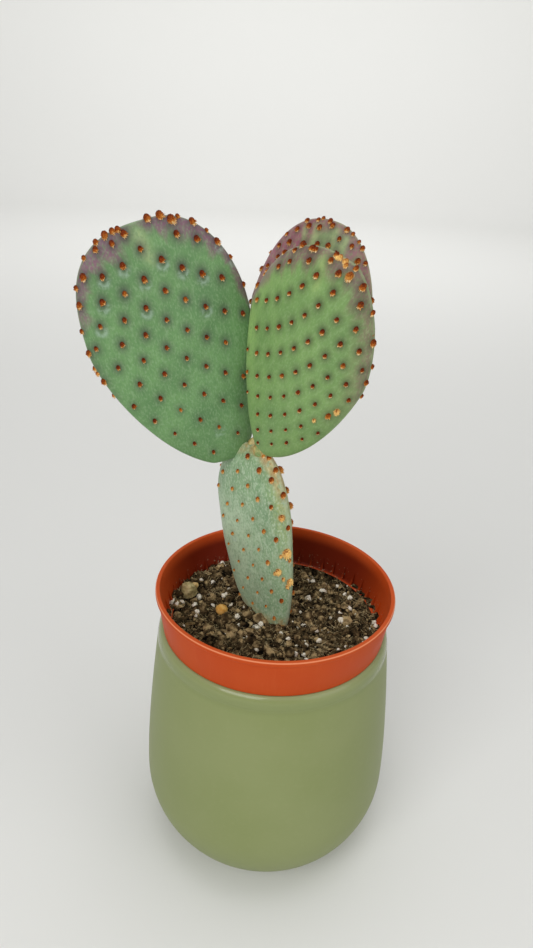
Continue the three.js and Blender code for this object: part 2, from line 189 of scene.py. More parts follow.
def growVector(tree, vector, factor):
    return wire(tree, "ShaderNodeVectorMath", {0: vector, "Scale": factor}, operation="SCALE")


def combine(tree, x=0.0, y=0.0, z=0.0):
    return wire(tree, "ShaderNodeCombineXYZ", {0: x, 1: y, 2: z})


def separate(tree, vector):
    return addNode(tree, "ShaderNodeSeparateXYZ", {0: vector}).outputs


def mixColour(tree, factor, under, over):
    under, over = (c if isinstance(c, bpy.types.NodeSocket) else (*c, 1) for c in (under, over))
    return wire(tree, "ShaderNodeMix", {0: factor, 6: under, 7: over}, 2, data_type="RGBA")


def paint(tree, colour, *coats):  # a coat is its mask, how strong it is and its colour
    for mask, strength, over in coats:
        colour = mixColour(tree, mask if strength == 1 else times(tree, mask, strength), colour, over)
    return colour


def ramp(tree, value, stops):
    node = addNode(tree, "ShaderNodeValToRGB", {0: value})
    elements = node.color_ramp.elements
    while len(elements) < len(stops):
        elements.new(0.5)
    for element, (position, colour) in zip(elements, stops):
        element.position = position
        element.color = (*colour, 1)
    return node.outputs[0]


def spread(tree, value, low, high, start=0.0, end=1.0):  # maps low..high to start..end, smoothly
    return wire(tree, "ShaderNodeMapRange", {0: value, 1: low, 2: high, 3: start, 4: end},
                interpolation_type="SMOOTHSTEP")


def newTree(name, kind, inputs, output):  # an input has its socket's kind or the number it starts at
    tree = bpy.data.node_groups.new(name, kind)
    for label, start in inputs.items():
        socket = start if isinstance(start, str) else {int: "Int", float: "Float"}[type(start)]
        item = tree.interface.new_socket(label, in_out="INPUT", socket_type="NodeSocket" + socket)
        if socket != start:
            item.default_value = start
    tree.interface.new_socket(output, in_out="OUTPUT", socket_type="NodeSocket" + output)
    return tree, tree.nodes.new("NodeGroupInput").outputs, tree.nodes.new("NodeGroupOutput").inputs[0]


def newEffect(name, numbers, output):  # a shader group that starts from noise
    tree, given, result = newTree(name, "ShaderNodeTree", {
        "Vector": "Vector", "Scale": 80.0, "Detail": 3.0, **numbers}, output)
    cloud = wire(tree, "ShaderNodeTexNoise", {key: given[key] for key in ("Vector", "Scale", "Detail")})
    return tree, given, result, cloud


def makePatches():  # soft patches: a mask of noise between two levels
    tree, given, result, cloud = newEffect("patches", {"Low": 0.4, "High": 0.6}, "Float")
    tree.links.new(spread(tree, cloud, given["Low"], given["High"]), result)
    return tree


def makeGrain():  # a fine pimpled or pitted surface, as a normal
    tree, given, result, cloud = newEffect("grain", {"Strength": 0.2, "Depth": 0.0003}, "Vector")
    bump = wire(tree, "ShaderNodeBump", {
        "Strength": given["Strength"], "Distance": given["Depth"], "Height": cloud})
    tree.links.new(bump, result)
    return tree


patchesGroup = makePatches()
grainGroup = makeGrain()


def patches(tree, vector, scale, low, high, detail=3.0):
    given = {"Vector": vector, "Scale": scale, "Low": low, "High": high, "Detail": detail}
    return wire(tree, "ShaderNodeGroup", given, node_tree=patchesGroup)


def grain(tree, vector, scale, strength, depth, detail=3.0):
    given = {"Vector": vector, "Scale": scale, "Strength": strength, "Depth": depth, "Detail": detail}
    return wire(tree, "ShaderNodeGroup", given, node_tree=grainGroup)


def newFinish(name):
    finish = bpy.data.materials.new(name)
    finish.use_nodes = True
    tree = finish.node_tree
    tree.nodes.clear()
    shader = tree.nodes.new("ShaderNodeBsdfPrincipled")
    surface = tree.nodes.new("ShaderNodeOutputMaterial")
    tree.links.new(shader.outputs[0], surface.inputs[0])
    place = tree.nodes.new("ShaderNodeTexCoord").outputs["Object"]
    return finish, tree, shader, place


def attribute(tree, name, output="Fac"):
    return wire(tree, "ShaderNodeAttribute", output=output, attribute_name=name)


# Helpers for trees that grow a mesh from a carrier.


def newGrowth(name, numbers):
    inputs = {"Geometry": "Geometry", **numbers, "finish": "Material"}
    return newTree(name, "GeometryNodeTree", inputs, "Geometry")


def endGrowth(tree, geometry, given, result):
    real = wire(tree, "GeometryNodeRealizeInstances", {"Geometry": geometry})
    dressed = wire(tree, "GeometryNodeSetMaterial", {"Geometry": real, "Material": given["finish"]})
    tree.links.new(dressed, result)
    return tree


def growMesh(name, carrier, tree, values):  # the tree's result as a plain mesh, in a new object
    modifier = carrier.modifiers.new("grow", "NODES")
    modifier.node_group = tree
    for item in tree.interface.items_tree:
        if item.in_out == "INPUT" and item.name in values:
            modifier[item.identifier] = values[item.name]
    depsgraph = bpy.context.evaluated_depsgraph_get()
    grown = carrier.evaluated_get(depsgraph)
    mesh = bpy.data.meshes.new_from_object(grown, preserve_all_data_layers=True, depsgraph=depsgraph)
    bpy.data.objects.remove(carrier)
    piece = bpy.data.objects.new(name, mesh)
    bpy.context.scene.collection.objects.link(piece)
    return piece


def position(tree):
    return wire(tree, "GeometryNodeInputPosition")


def named(tree, name, kind="FLOAT"):
    return wire(tree, "GeometryNodeInputNamedAttribute", {"Name": name}, data_type=kind)


def keepValue(tree, geometry, name, value):
    return wire(tree, "GeometryNodeStoreNamedAttribute", {"Geometry": geometry, "Name": name, "Value": value},
                data_type="FLOAT", domain="POINT")


def drawValue(tree, low, high, seed):
    return wire(tree, "FunctionNodeRandomValue", {2: low, 3: high, 8: seed}, 1, data_type="FLOAT")


def drawVector(tree, low, high, seed):
    return wire(tree, "FunctionNodeRandomValue", {0: low, 1: high, 8: seed}, data_type="FLOAT_VECTOR")


def rotation(tree, euler):
    return wire(tree, "FunctionNodeEulerToRotation", {0: euler})


def shifted(tree, geometry, offset):
    return wire(tree, "GeometryNodeSetPosition", {"Geometry": geometry, "Offset": offset})


def reshaped(tree, geometry, place):
    return wire(tree, "GeometryNodeSetPosition", {"Geometry": geometry, "Position": place})


def cubeGrid(tree, across, tall):
    return wire(tree, "GeometryNodeMeshCube", {
        "Size": (1, 1, 1), "Vertices X": across, "Vertices Y": across, "Vertices Z": tall})


def instances(tree, points, piece, turn, scale=(1, 1, 1)):
    return wire(tree, "GeometryNodeInstanceOnPoints", {
        "Points": points, "Instance": piece, "Rotation": turn, "Scale": scale})


# The outer pot. A zone is a range of heights, from where its mask is 0 to where it is 1, and a fade the
# same, measured down from the rim. clouds and the like give the scale of a noise and its two levels.
outerPot = {
    "height": 0.121, "wall": 0.003, "footRadius": 0.038, "bellyRadius": 0.0599, "bellyHeight": 0.038,
    "mouthRadius": 0.0542, "floor": 0.005, "facets": 180,
    "lipWidth": 0.0026, "lipHeight": 0.0062, "lipInner": 0.0004,
    "glaze": (0.226, 0.262, 0.104), "thinGlaze": (0.275, 0.305, 0.145), "shadedGlaze": (0.195, 0.232, 0.086),
    "clay": (0.55, 0.48, 0.38), "roughness": 0.40, "lipGloss": 0.20, "specular": 0.16, "lipCoat": 0.45,
    "coatRoughness": 0.13, "underLipShadeZone": (0.111, 0.1155), "underLipShadeEnd": (0.1192, 0.1172),
    "glossZone": (0.1130, 0.1160), "bareZone": (0.0004, 0.0001), "lipFade": (0.0016, 0.0002),
    "clouds": (22, 0.35, 0.7), "specks": (420, 0.52, 0.72, 2), "grain": (160, 0.06, 0.0004, 2),
    "uneven": 0.06,
}


def makeGlaze(pot):
    finish, tree, shader, place = newFinish("sageGlaze")
    cloudy, fine = (patches(tree, place, *pot[key]) for key in ("clouds", "specks"))
    height = separate(tree, place)[2]
    lip = spread(tree, height, *(pot["height"] - down for down in pot["lipFade"]))
    # Painted shade: a darker band of glaze a few millimetres under the lip.
    underLipShade = times(tree, spread(tree, height, *pot["underLipShadeZone"]), spread(tree, height, *pot["underLipShadeEnd"]))
    bare = spread(tree, height, *pot["bareZone"])
    glossy = spread(tree, height, *pot["glossZone"])
    thin = pot["thinGlaze"]
    colour = paint(tree, pot["glaze"], (cloudy, 0.35, thin), (fine, 0.12, thin), (lip, 0.6, thin),
                   (underLipShade, 0.6, pot["shadedGlaze"]), (bare, 1, pot["clay"]))
    rough = spread(tree, cloudy, 0, 1, pot["roughness"], pot["roughness"] + pot["uneven"])
    smoother = times(tree, glossy, pot["roughness"] - pot["lipGloss"])
    fill(tree, shader, {
        "Base Color": colour, "Roughness": calc(tree, "SUBTRACT", rough, smoother),
        "Specular IOR Level": pot["specular"], "Coat Weight": times(tree, glossy, pot["lipCoat"]),
        "Coat Roughness": pot["coatRoughness"], "Normal": grain(tree, place, *pot["grain"])})
    return finish


def makeOuterPot(pot):
    belly, low, wall = pot["bellyRadius"], pot["bellyHeight"], pot["wall"]
    lipWidth, lipHeight, lipInner = pot["lipWidth"], pot["lipHeight"], pot["lipInner"]
    mouth, top = pot["mouthRadius"], pot["height"]
    innerLip = mouth - wall + lipInner
    profile = [[0, 0.0006], [0.030, 0.0006], [0.0325, 0], [pot["footRadius"], 0]]
    profile += bezier([pot["footRadius"], 0], [0.047, 0.003], [belly, 0.019], [belly, low], 28)
    profile += bezier([belly, low], [belly, 0.062], [0.0565, 0.095], [mouth, top - lipHeight], 30)
    for x, z in arc((0, 0), 1, 0, 90, 18)[1:]:
        profile.append([mouth - lipWidth * (1 - x), top - lipHeight * (1 - z)])
    profile += arc((innerLip, top - lipInner), lipInner, 90, 180, 6)
    inside = belly - wall
    profile += bezier([mouth - wall, top - lipInner], [0.0534, 0.095], [inside, 0.062], [inside, low], 16)
    profile += bezier([inside, low], [inside, 0.021], [0.046, pot["floor"]], [0.036, pot["floor"]], 12)
    profile += [[0, pot["floor"]]]
    points, faces = latheMesh(profile, pot["facets"])
    piece = meshPiece("outerPot", points, faces, makeGlaze(pot))
    settle(piece, "outer_pot_glaze", "outer_pot")


makeOuterPot(outerPot)
print("outer pot made")

# The nursery pot. wallWay is the distance from the axis less a share (slope) of the height: the same
# all the way up the sloping collar.
innerPot = {
    "rimHeight": 0.141, "rimRadius": 0.055, "collarFoot": 0.0517, "collarHeight": 0.1213, "wall": 0.0014,
    "shoulderRadius": 0.0489, "floorHeight": 0.043, "floorRadius": 0.037, "floorThickness": 0.0018,
    "facets": 180, "drainHoles": 8, "drainRadius": 0.0035, "drainCircle": 0.024, "drillReach": 0.006,
    "edge": 0.0003, "colour": (0.480, 0.060, 0.008), "faded": (0.540, 0.098, 0.024),
    "shaded": (0.125, 0.009, 0.0005), "paintedHighlight": (0.78, 0.33, 0.17), "dust": (0.34, 0.25, 0.16),
    "roughness": 0.50, "specular": 0.12, "slope": 0.16, "insideWay": (0.0319, 0.0313),
    "collarWay": (0.0268, 0.0300), "shadedZone": (0.1412, 0.1340), "shadedDepth": (-0.01, 0.035, 0.05, 1.0),
    "dustyZone": (0.131, 0.1235), "lineRadius": (0.0541, 0.0543), "lipFade": (0.0012, 0.0002),
    "lineFades": [(0.0006, 0.0004), (0.00004, 0.00018)], "clouds": (45, 0.4, 0.7),
    "streaks": (600, 0.5, 0.75, 2), "drawn": 0.12,
    "specks": (700, 0.66, 0.74, 1), "grain": (900, 0.12, 0.0001, 2), "uneven": 0.1,
}
ribs = {
    "count": 48, "height": 0.0078, "width": 0.0013, "reach": 0.0026, "radius": 0.0503, "foot": 0.1224,
    "lean": 0.148,
}


def makePlastic(pot):
    finish, tree, shader, place = newFinish("brownOrangePlastic")
    cloudy, specks = (patches(tree, place, *pot[key]) for key in ("clouds", "specks"))
    streaky = patches(tree, scaleVector(tree, place, (1, 1, pot["drawn"])), *pot["streaks"])
    _, back, height = separate(tree, place)
    away = vectorCalc(tree, "LENGTH", scaleVector(tree, place, (1, 1, 0)), output="Value")
    rim, faded = pot["rimHeight"], pot["faded"]
    # The rim's lighter top band and the thin pale line along its outer top edge are painted highlight.
    lip, low, high = (spread(tree, height, *(rim - down for down in fade))
                      for fade in (pot["lipFade"], *pot["lineFades"]))
    line = times(tree, low, high, spread(tree, away, *pot["lineRadius"]))
    wallWay = calc(tree, "SUBTRACT", away, times(tree, height, pot["slope"]))
    inside = spread(tree, wallWay, *pot["insideWay"])
    shaded = times(tree, inside, spread(tree, height, *pot["shadedZone"]),
                   spread(tree, wallWay, *pot["collarWay"]), spread(tree, back, *pot["shadedDepth"]))
    dusty = times(tree, specks, spread(tree, height, *pot["dustyZone"]), inside)
    colour = paint(tree, pot["colour"], (cloudy, 0.3, faded), (streaky, 0.2, faded), (lip, 0.25, faded),
                   (line, 0.6, pot["paintedHighlight"]), (shaded, 1, pot["shaded"]), (dusty, 0.8, pot["dust"]))
    rough = spread(tree, cloudy, 0, 1, pot["roughness"], pot["roughness"] + pot["uneven"])
    fill(tree, shader, {"Base Color": colour, "Roughness": rough, "Specular IOR Level": pot["specular"],
                        "Normal": grain(tree, place, *pot["grain"])})
    return finish


def makeDrill(pot):  # what cuts the drain holes
    away, deep = pot["drainRadius"], pot["drillReach"]
    hole, holeFaces = latheMesh([[0, -deep], [away, -deep], [away, deep], [0, deep]], 24)
    points, faces = [], []
    for i in range(pot["drainHoles"]):
        turn = 2 * math.pi * i / pot["drainHoles"]
        centre = Vector((math.cos(turn), math.sin(turn), 0)) * pot["drainCircle"]
        shift = Vector((centre.x, centre.y, pot["floorHeight"]))
        addPart(points, faces, np.array(hole) + np.array(shift), holeFaces)
    return meshPiece("drill", points, faces)


def makeInnerPot(pot, finish):
    rim, top, foot = pot["rimRadius"], pot["rimHeight"], pot["collarFoot"]
    seat, wall, edge = pot["collarHeight"], pot["wall"], pot["edge"]
    ledge, under = seat + wall, seat - 0.0002
    floor, shoulder = pot["floorRadius"], pot["shoulderRadius"]
    inner = pot["floorHeight"] + pot["floorThickness"]
    profile = [[0, pot["floorHeight"]], [floor - edge, pot["floorHeight"]]]
    profile += [[floor, pot["floorHeight"] + edge], [shoulder, seat - edge]]
    profile += [[shoulder + edge, under], [foot - edge, under]]
    profile += arc((foot - edge, under + edge), edge, -80, -8, 4)
    profile += [[rim - 0.00105, top - 0.0030], [rim - 0.00100, top - 0.0024]]
    profile += arc((rim - 0.0006, top - 0.0017), 0.0006, -70, 0, 5)
    profile += arc((rim - 0.0008, top - 0.0008), 0.0008, 0, 90, 6)
    profile += [[rim - 0.0015, top]]
    profile += arc((rim - 0.0016, top - 0.0005), 0.0005, 90, 172, 5)
    profile += [[foot - wall, ledge + edge], [foot - wall - edge, ledge]]
    profile += [[shoulder - wall, ledge], [shoulder - wall - edge, ledge - edge]]
    profile += [[floor - wall, inner], [0, inner]]
    points, faces = latheMesh(profile, pot["facets"])
    piece = meshPiece("nurseryPot", points, faces, finish)
    drill = makeDrill(pot)
    cut = piece.modifiers.new("drain", "BOOLEAN")
    cut.operation, cut.object, cut.solver = "DIFFERENCE", drill, "EXACT"
    depsgraph = bpy.context.evaluated_depsgraph_get()
    bored = bpy.data.meshes.new_from_object(piece.evaluated_get(depsgraph), depsgraph=depsgraph)
    piece.modifiers.clear()
    piece.data = bored
    bpy.data.objects.remove(drill)
    settle(piece, "nursery_plastic", "nursery_pot")


def makeRibTree():  # small fins round the inside of the collar, thinning to a point as they rise
    tree, given, result = newGrowth("collarRibs", {
        "count": 48, "radius": 0.05, "foot": 0.12, "height": 0.007, "width": 0.001, "reach": 0.002,
        "lean": 0.15})
    x, y, z = separate(tree, position(tree))
    rise = calc(tree, "ADD", z, 0.5)
    left = calc(tree, "SUBTRACT", 1.0, times(tree, rise, 0.86))
    inward = times(tree, calc(tree, "SUBTRACT", x, 0.5), given["reach"], left)
    outward = times(tree, rise, given["height"], given["lean"])
    across = calc(tree, "ADD", calc(tree, "ADD", inward, outward), 0.0005)
    shape = combine(tree, across, times(tree, y, given["width"], left), times(tree, rise, given["height"]))
    fin = reshaped(tree, cubeGrid(tree, 2, 4), shape)
    ring = wire(tree, "GeometryNodeMeshCircle", {"Vertices": given["count"], "Radius": given["radius"]})
    ring = shifted(tree, ring, combine(tree, z=given["foot"]))
    number = wire(tree, "GeometryNodeInputIndex")
    turn = calc(tree, "DIVIDE", times(tree, number, 2 * math.pi), given["count"])
    return endGrowth(tree, instances(tree, ring, fin, rotation(tree, combine(tree, z=turn))), given, result)


plastic = makePlastic(innerPot)
makeInnerPot(innerPot, plastic)
ribCarrier = meshPiece("ribCarrier", [(0, 0, 0)], [])
ribPiece = growMesh("collarRibs", ribCarrier, makeRibTree(), {**ribs, "finish": plastic})
settle(ribPiece, "nursery_plastic", "nursery_pot")
print("nursery pot made")

# Each pad stands in its own plane: u across, v from the root up to the tip. Its outline is four
# quarters of superellipses that meet at height root, with one exponent (full) for each quarter.
# yaw turns the right side forward, lean the top to the right, tilt the top forward. blush lists how
# the rim turns purple: angle in degrees, depth as a share of the reach, strength. rays are streaks
# that stay yellow-green: angle and half width. chalked areoles are those nearest to the given pixels.
plainPad = {
    "bendRadius": math.inf, "heel": None, "rightGrowth": 0, "rimBoost": 1.3, "pitted": 0.4, "rays": [],
    "scuffs": 0.0, "chalked": [], "golden": 0.0,
}
basePad = {
    **plainPad,
    "node": "base_pad", "name": "basePad", "slot": "base_pad_skin", "seed": 3,
    "place": (0, 0.003, 0.108), "yaw": 45, "lean": -7.6, "tilt": 3,
    "left": 0.0273, "right": 0.01745, "tip": 0.0331, "root": 0.0672,
    "full": {"tipLeft": 2.1, "tipRight": 2.15, "rootLeft": 2.22, "rootRight": 2.28},
    "halfThickness": 0.0075, "areoleSize": 0.80, "rightGrowth": 0.75,
    "areoles": {"start": (-0.00107, 0.05828), "stepA": (0.00596, -0.00562), "stepB": (-0.00456, -0.00932),
                "curveAA": (-0.0004, 0.00013), "curveAB": (0.00024, -0.00049),
                "curveBB": (-0.00031, 0.00032)},
    "green": (0.235, 0.378, 0.200), "deep": (0.150, 0.265, 0.135), "pale": (0.480, 0.590, 0.420),
    "halo": (0.160, 0.220, 0.120), "haloStrength": 0.35, "purple": (0.34, 0.30, 0.15),
    "margin": (0.335, 0.410, 0.150), "marginSide": (15, 52, 0.8),
    "glow": (0.36, 0.47, 0.33), "glowSide": (200, 60, 0.5),
    "blush": [(30, 0, 0), (60, 0.10, 0.5), (100, 0.14, 0.6), (140, 0.08, 0.3), (170, 0, 0)],
    "ray": (0.30, 0.38, 0.17),
    "paintedLight": (0.44, 0.58, 0.385), "paintedLightStrength": 0.85, "grainy": 1.0, "scuffs": 0.08,
    "golden": 0.6, "paleTufts": 0.2, "crowd": 0.0, "rimBoost": 0.85, "mottled": 0.35, "pitted": 0.5,
}
leftPad = {
    **plainPad,
    "node": "left_pad", "name": "leftPad", "slot": "pad_skin", "seed": 5,
    "place": (-0.0304, 0.0085, 0.1981), "yaw": -24, "lean": -13.5, "tilt": -3,
    "left": 0.0376, "right": 0.0305, "tip": 0.0438, "root": 0.0604,
    "full": {"tipLeft": 3, "tipRight": 2.04, "rootLeft": 1.45, "rootRight": 1.93},
    "heel": {"angle": -73.6, "spread": 11.7, "share": 0.13},
    "halfThickness": 0.0053, "areoleSize": 1,
    "areoles": {"start": (-0.00552, 0.0670), "stepA": (0.00672, -0.00628), "stepB": (-0.00264, -0.01069),
                "curveAA": (0.000135, 0.00032), "curveAB": (-0.000044, -0.00053),
                "curveBB": (-0.000277, 0.000215)},
    "green": (0.150, 0.300, 0.112), "deep": (0.105, 0.225, 0.085), "pale": (0.270, 0.410, 0.220),
    "halo": (0.060, 0.052, 0.055), "haloStrength": 0.9, "purple": (0.250, 0.110, 0.170),
    "margin": (0.17, 0.28, 0.10), "marginSide": (-60, 40, 0.2),
    "glow": (0.27, 0.38, 0.17), "glowSide": (100, 14, 0.15),
    "blush": [(-15, 0, 0), (0, 0.06, 0.5), (20, 0.12, 0.9), (28, 0.11, 0.7), (44, 0.15, 0.9), (60, 0.20, 1),
              (76, 0.18, 1), (86, 0.21, 1), (94, 0.14, 1), (99, 0.05, 0.3), (103, 0.05, 0.3), (108, 0.17, 1),
              (116, 0.26, 1), (126, 0.22, 1), (134, 0.12, 0.9), (148, 0.14, 0.9), (158, 0.12, 0.7),
              (170, 0, 0)],
    "rays": [(100.5, 4)], "ray": (0.33, 0.43, 0.20), "grainy": 0.6, "scuffs": 0.05,
    "paleTufts": 0.1, "crowd": 0.35,
    "chalked": [(104, 272), (127, 266), (162, 260), (202, 268), (148, 283), (143, 308), (100, 298),
                (208, 303)],
}
rightAreoles = {"stepA": (0.0098, -0.0014), "stepB": (0.0064, -0.0077), "curveAA": (-0.00061, 0.00050),
                "curveAB": (-0.00064, 0.00041), "curveBB": (-0.00035, 0.00017)}
frontPad = {
    **plainPad,
    "node": "right_front_pad", "name": "rightFrontPad", "slot": "pad_skin", "seed": 7,
    "place": (-0.011, 0.004, 0.206), "yaw": 34, "lean": 25.3, "tilt": 2,
    "left": 0.037, "right": 0.025, "tip": 0.041, "root": 0.052,
    "full": {"tipLeft": 2.2, "tipRight": 1.6, "rootLeft": 1.2, "rootRight": 1.9},
    "halfThickness": 0.0056, "bendRadius": 0.075, "areoleSize": 0.86,
    "areoles": {"start": (-0.0067, 0.0680), **rightAreoles},
    "green": (0.200, 0.345, 0.110), "deep": (0.150, 0.275, 0.088), "pale": (0.320, 0.450, 0.210),
    "halo": (0.060, 0.062, 0.034), "haloStrength": 0.85, "purple": (0.235, 0.125, 0.125),
    "margin": (0.225, 0.235, 0.120), "marginSide": (25, 50, 0.95),
    "glow": (0.340, 0.545, 0.160), "glowSide": (196, 42, 0.9),
    "blush": [(-25, 0, 0), (0, 0.12, 0.4), (30, 0.14, 0.45), (60, 0.16, 0.5), (78, 0.24, 0.8), (90, 0.20, 1),
              (98, 0.20, 1), (104, 0.20, 0.9), (116, 0.22, 1), (140, 0.22, 1), (160, 0.13, 0.85),
              (178, 0.12, 0.8), (190, 0.04, 0.2), (200, 0, 0)],
    "rays": [(107, 3.4)], "ray": (0.32, 0.46, 0.155), "grainy": 0.5,
    "paleTufts": 0.15, "crowd": 0.2,
}
backPad = {
    **plainPad,
    "node": "right_back_pad", "name": "rightBackPad", "slot": "pad_skin", "seed": 9,
    "place": (-0.0105, 0.010, 0.206), "yaw": 34, "lean": 13.3, "tilt": -9,
    "left": 0.031, "right": 0.026, "tip": 0.041, "root": 0.0565,
    "full": {"tipLeft": 2.25, "tipRight": 1.85, "rootLeft": 1.2, "rootRight": 2},
    "halfThickness": 0.0044, "bendRadius": 0.085, "areoleSize": 0.80,
    "areoles": {"start": (-0.0040, 0.0660), **rightAreoles},
    "green": (0.215, 0.335, 0.130), "deep": (0.165, 0.265, 0.105), "pale": (0.340, 0.440, 0.220),
    "halo": (0.085, 0.045, 0.045), "haloStrength": 0.7, "purple": (0.325, 0.106, 0.155),
    "margin": (0.20, 0.20, 0.12), "marginSide": (10, 50, 0.5),
    "glow": (0.22, 0.23, 0.13), "glowSide": (100, 60, 0.5),
    "blush": [(-30, 0, 0), (0, 0.12, 0.5), (44, 0.26, 0.7), (60, 0.34, 0.8), (72, 0.32, 0.85),
              (82, 0.11, 0.8), (100, 0.12, 0.85), (112, 0.40, 1), (132, 0.50, 1), (148, 0.40, 1),
              (164, 0.30, 0.9), (180, 0.24, 0.8), (205, 0.10, 0.4), (220, 0, 0)],
    "rays": [(82, 2.6), (89.5, 2.2), (103, 2.8), (112, 1.8), (69, 2)], "ray": (0.36, 0.45, 0.20),
    "grainy": 0.5, "paleTufts": 0.1, "crowd": 0.2,
}
pads = [basePad, leftPad, frontPad, backPad]
necks = {
    "left_pad": {"centre": (-0.0202, 0.0146, 0.2011), "radii": (0.0046, 0.0032, 0.0046)},
    "right_front_pad": {"centre": (-0.0090, 0.0046, 0.2060), "radii": (0.0046, 0.0032, 0.0040)},
    "right_back_pad": {"centre": (-0.0110, 0.0105, 0.2060), "radii": (0.0050, 0.0030, 0.0040)},
}
padMesh = {"rings": 80, "spokes": 280, "crown": 2.4, "rimCrowding": 1.6, "wave": 0.00035}
# A pattern of the skin is how tall it is drawn, the scale of its noise and its two levels.
skin = {
    "bark": (0.36, 0.17, 0.04), "paleBark": (0.64, 0.49, 0.22), "chalk": (0.34, 0.46, 0.36),
    "roughness": (0.44, 0.58), "specular": 0.28, "sheen": 0.05, "grain": (1300, 0.22, 0.0002),
    "soft": (1, 60, 0.30, 0.66), "mottles": (0.35, 460, 0.46, 0.66, 2), "flecks": (0.55, 1400, 0.44, 0.70),
    "streaks": (0.2, 700, 0.5, 0.8), "pits": (0.7, 1050, 0.46, 0.66), "chalky": (1, 700, 0.3, 0.6),
    "corky": (1, 330, 0.3, 0.55), "barky": (1, 620, 0.3, 0.7), "blushed": (7, 0.36, 0.62),
    "paintedLightTop": (0.084, 0.060), "paintedLightFoot": (0.016, 0.045, 0.5, 1), "paintedLightSide": (0.014, -0.010, 0.25, 1),
    "streaky": 0.4, "flecked": 0.75, "chalked": 0.6, "rimHighlight": (0.985, 1.0, 0, 0.35),
    "corkEdge": (0.86, 1.0), "corkAngle": 75, "corkSpread": 0.7, "soilLine": (0.1265, 0.1225),
}
areole = {
    "rimRatio": 0.995, "rimPitch": 0.0078, "rimLeast": 0.7, "rimVary": 0.6, "rimStart": -35, "rimEnd": 215,
    "rimClear": 0.0034, "faceEdge": 0.945, "fold": 0.3, "clear": 0.0018, "aboveSoil": 0.0032,
    "soilLevel": 0.1205,
    "lowSize": 0.78, "growth": 0.42, "haloReach": 0.0026, "dimple": 0.0003, "twinStep": 0.0026,
    "seenClear": 0.0042, "seenRimClear": 0.0075, "nearBy": 0.009, "haloTall": 0.78, "dimpleReach": 0.0022,
    "scuffDrop": 0.0021, "scuffRadius": 0.0017, "scuffWidth": 0.0008, "scuffFade": (0.0002, 0.0022),
    "sizes": (0.86, 1.14), "paleness": (0.25, 0.55), "rimPaleness": 0.2, "crowdRise": (0.45, 0.8),
    "twinSteps": (0.8, 1.15), "twinSide": 0.0016, "twinSize": 0.85,
}


def seededRandom(seed):
    state = seed
    while True:
        state = (state * 16807) % 2147483647
        yield state / 2147483647


def smoothStep(value, low, high):
    t = np.clip((value - low) / (high - low), 0, 1)
    return t * t * (3 - 2 * t)


def angleGap(angle, centre):
    return np.abs((angle - math.radians(centre) + math.pi) % (2 * math.pi) - math.pi)


def outlineRadius(pad, angle):
    across, along = np.cos(angle), np.sin(angle)
    full = pad["full"]
    width = np.where(across > 0, pad["right"], pad["left"])
    height = np.where(along > 0, pad["tip"], pad["root"])
    tipPower = np.where(across > 0, full["tipRight"], full["tipLeft"])
    rootPower = np.where(across > 0, full["rootRight"], full["rootLeft"])
    power = np.where(along > 0, tipPower, rootPower)
    plain = (np.abs(across / width) ** power + np.abs(along / height) ** power) ** (-1 / power)
    heel = pad["heel"]
    if heel is None:
        return plain
    gap = angleGap(angle, heel["angle"]) / math.radians(heel["spread"])
    return plain * (1 + heel["share"] * np.exp(-gap ** 2))


def halfThickness(pad, ratio):
    return pad["halfThickness"] * np.sqrt(np.maximum(0, 1 - np.clip(ratio, 0, 1) ** padMesh["crown"]))


def padPoint(pad, ratio, angle, face):  # face is -1 in front, +1 behind
    reach = outlineRadius(pad, angle) * ratio
    u = reach * np.cos(angle)
    v = pad["root"] + reach * np.sin(angle)
    bend = u * u / (2 * pad["bendRadius"])
    phase = pad["seed"]
    wave = np.sin(95 * u + phase) * np.sin(80 * v + 2 * phase) + 0.6 * np.sin(210 * v - 160 * u + phase)
    y = bend + padMesh["wave"] * wave * np.clip(1.4 - ratio, 0, 1) + face * halfThickness(pad, ratio)
    return np.stack(np.broadcast_arrays(u, y, v), -1)


def padPlacement(pad):
    turn = Euler([math.radians(pad["tilt"]), math.radians(pad["lean"]), -math.radians(pad["yaw"])], "XYZ")
    return np.array(Matrix.Translation(pad["place"]) @ turn.to_matrix().to_4x4())


def toWorld(pad, points):
    matrix = padPlacement(pad)
    return points @ matrix[:3, :3].T + matrix[:3, 3]


def toPad(pad, points):
    matrix = padPlacement(pad)
    return (points - matrix[:3, 3]) @ matrix[:3, :3]


def insidePad(pad, points, margin):
    local = toPad(pad, points)
    u, along = local[:, 0], local[:, 2] - pad["root"]
    ratio = np.hypot(u, along) / (outlineRadius(pad, np.arctan2(along, u)) + margin)
    off = np.abs(local[:, 1] - u * u / (2 * pad["bendRadius"]))
    return (ratio < 1) & (off < halfThickness(pad, ratio) + margin)


def insideNeck(points, margin):
    found = np.zeros(len(points), bool)
    for neck in necks.values():
        parts = (points - np.array(neck["centre"])) / (np.array(neck["radii"]) + margin)
        found |= np.linalg.norm(parts, axis=1) < 1
    return found


def latticePoint(rule, a, b):
    return [rule["start"][k] + a * rule["stepA"][k] + b * rule["stepB"][k] + a * a * rule["curveAA"][k]
            + a * b * rule["curveAB"][k] + b * b * rule["curveBB"][k] for k in (0, 1)]


def latticeSpread(rule, a, b):
    alongA = [rule["stepA"][k] + 2 * a * rule["curveAA"][k] + b * rule["curveAB"][k] for k in (0, 1)]
    alongB = [rule["stepB"][k] + 2 * b * rule["curveBB"][k] + a * rule["curveAB"][k] for k in (0, 1)]
    whole = rule["stepA"][0] * rule["stepB"][1] - rule["stepA"][1] * rule["stepB"][0]
    return (alongA[0] * alongB[1] - alongA[1] * alongB[0]) / whole


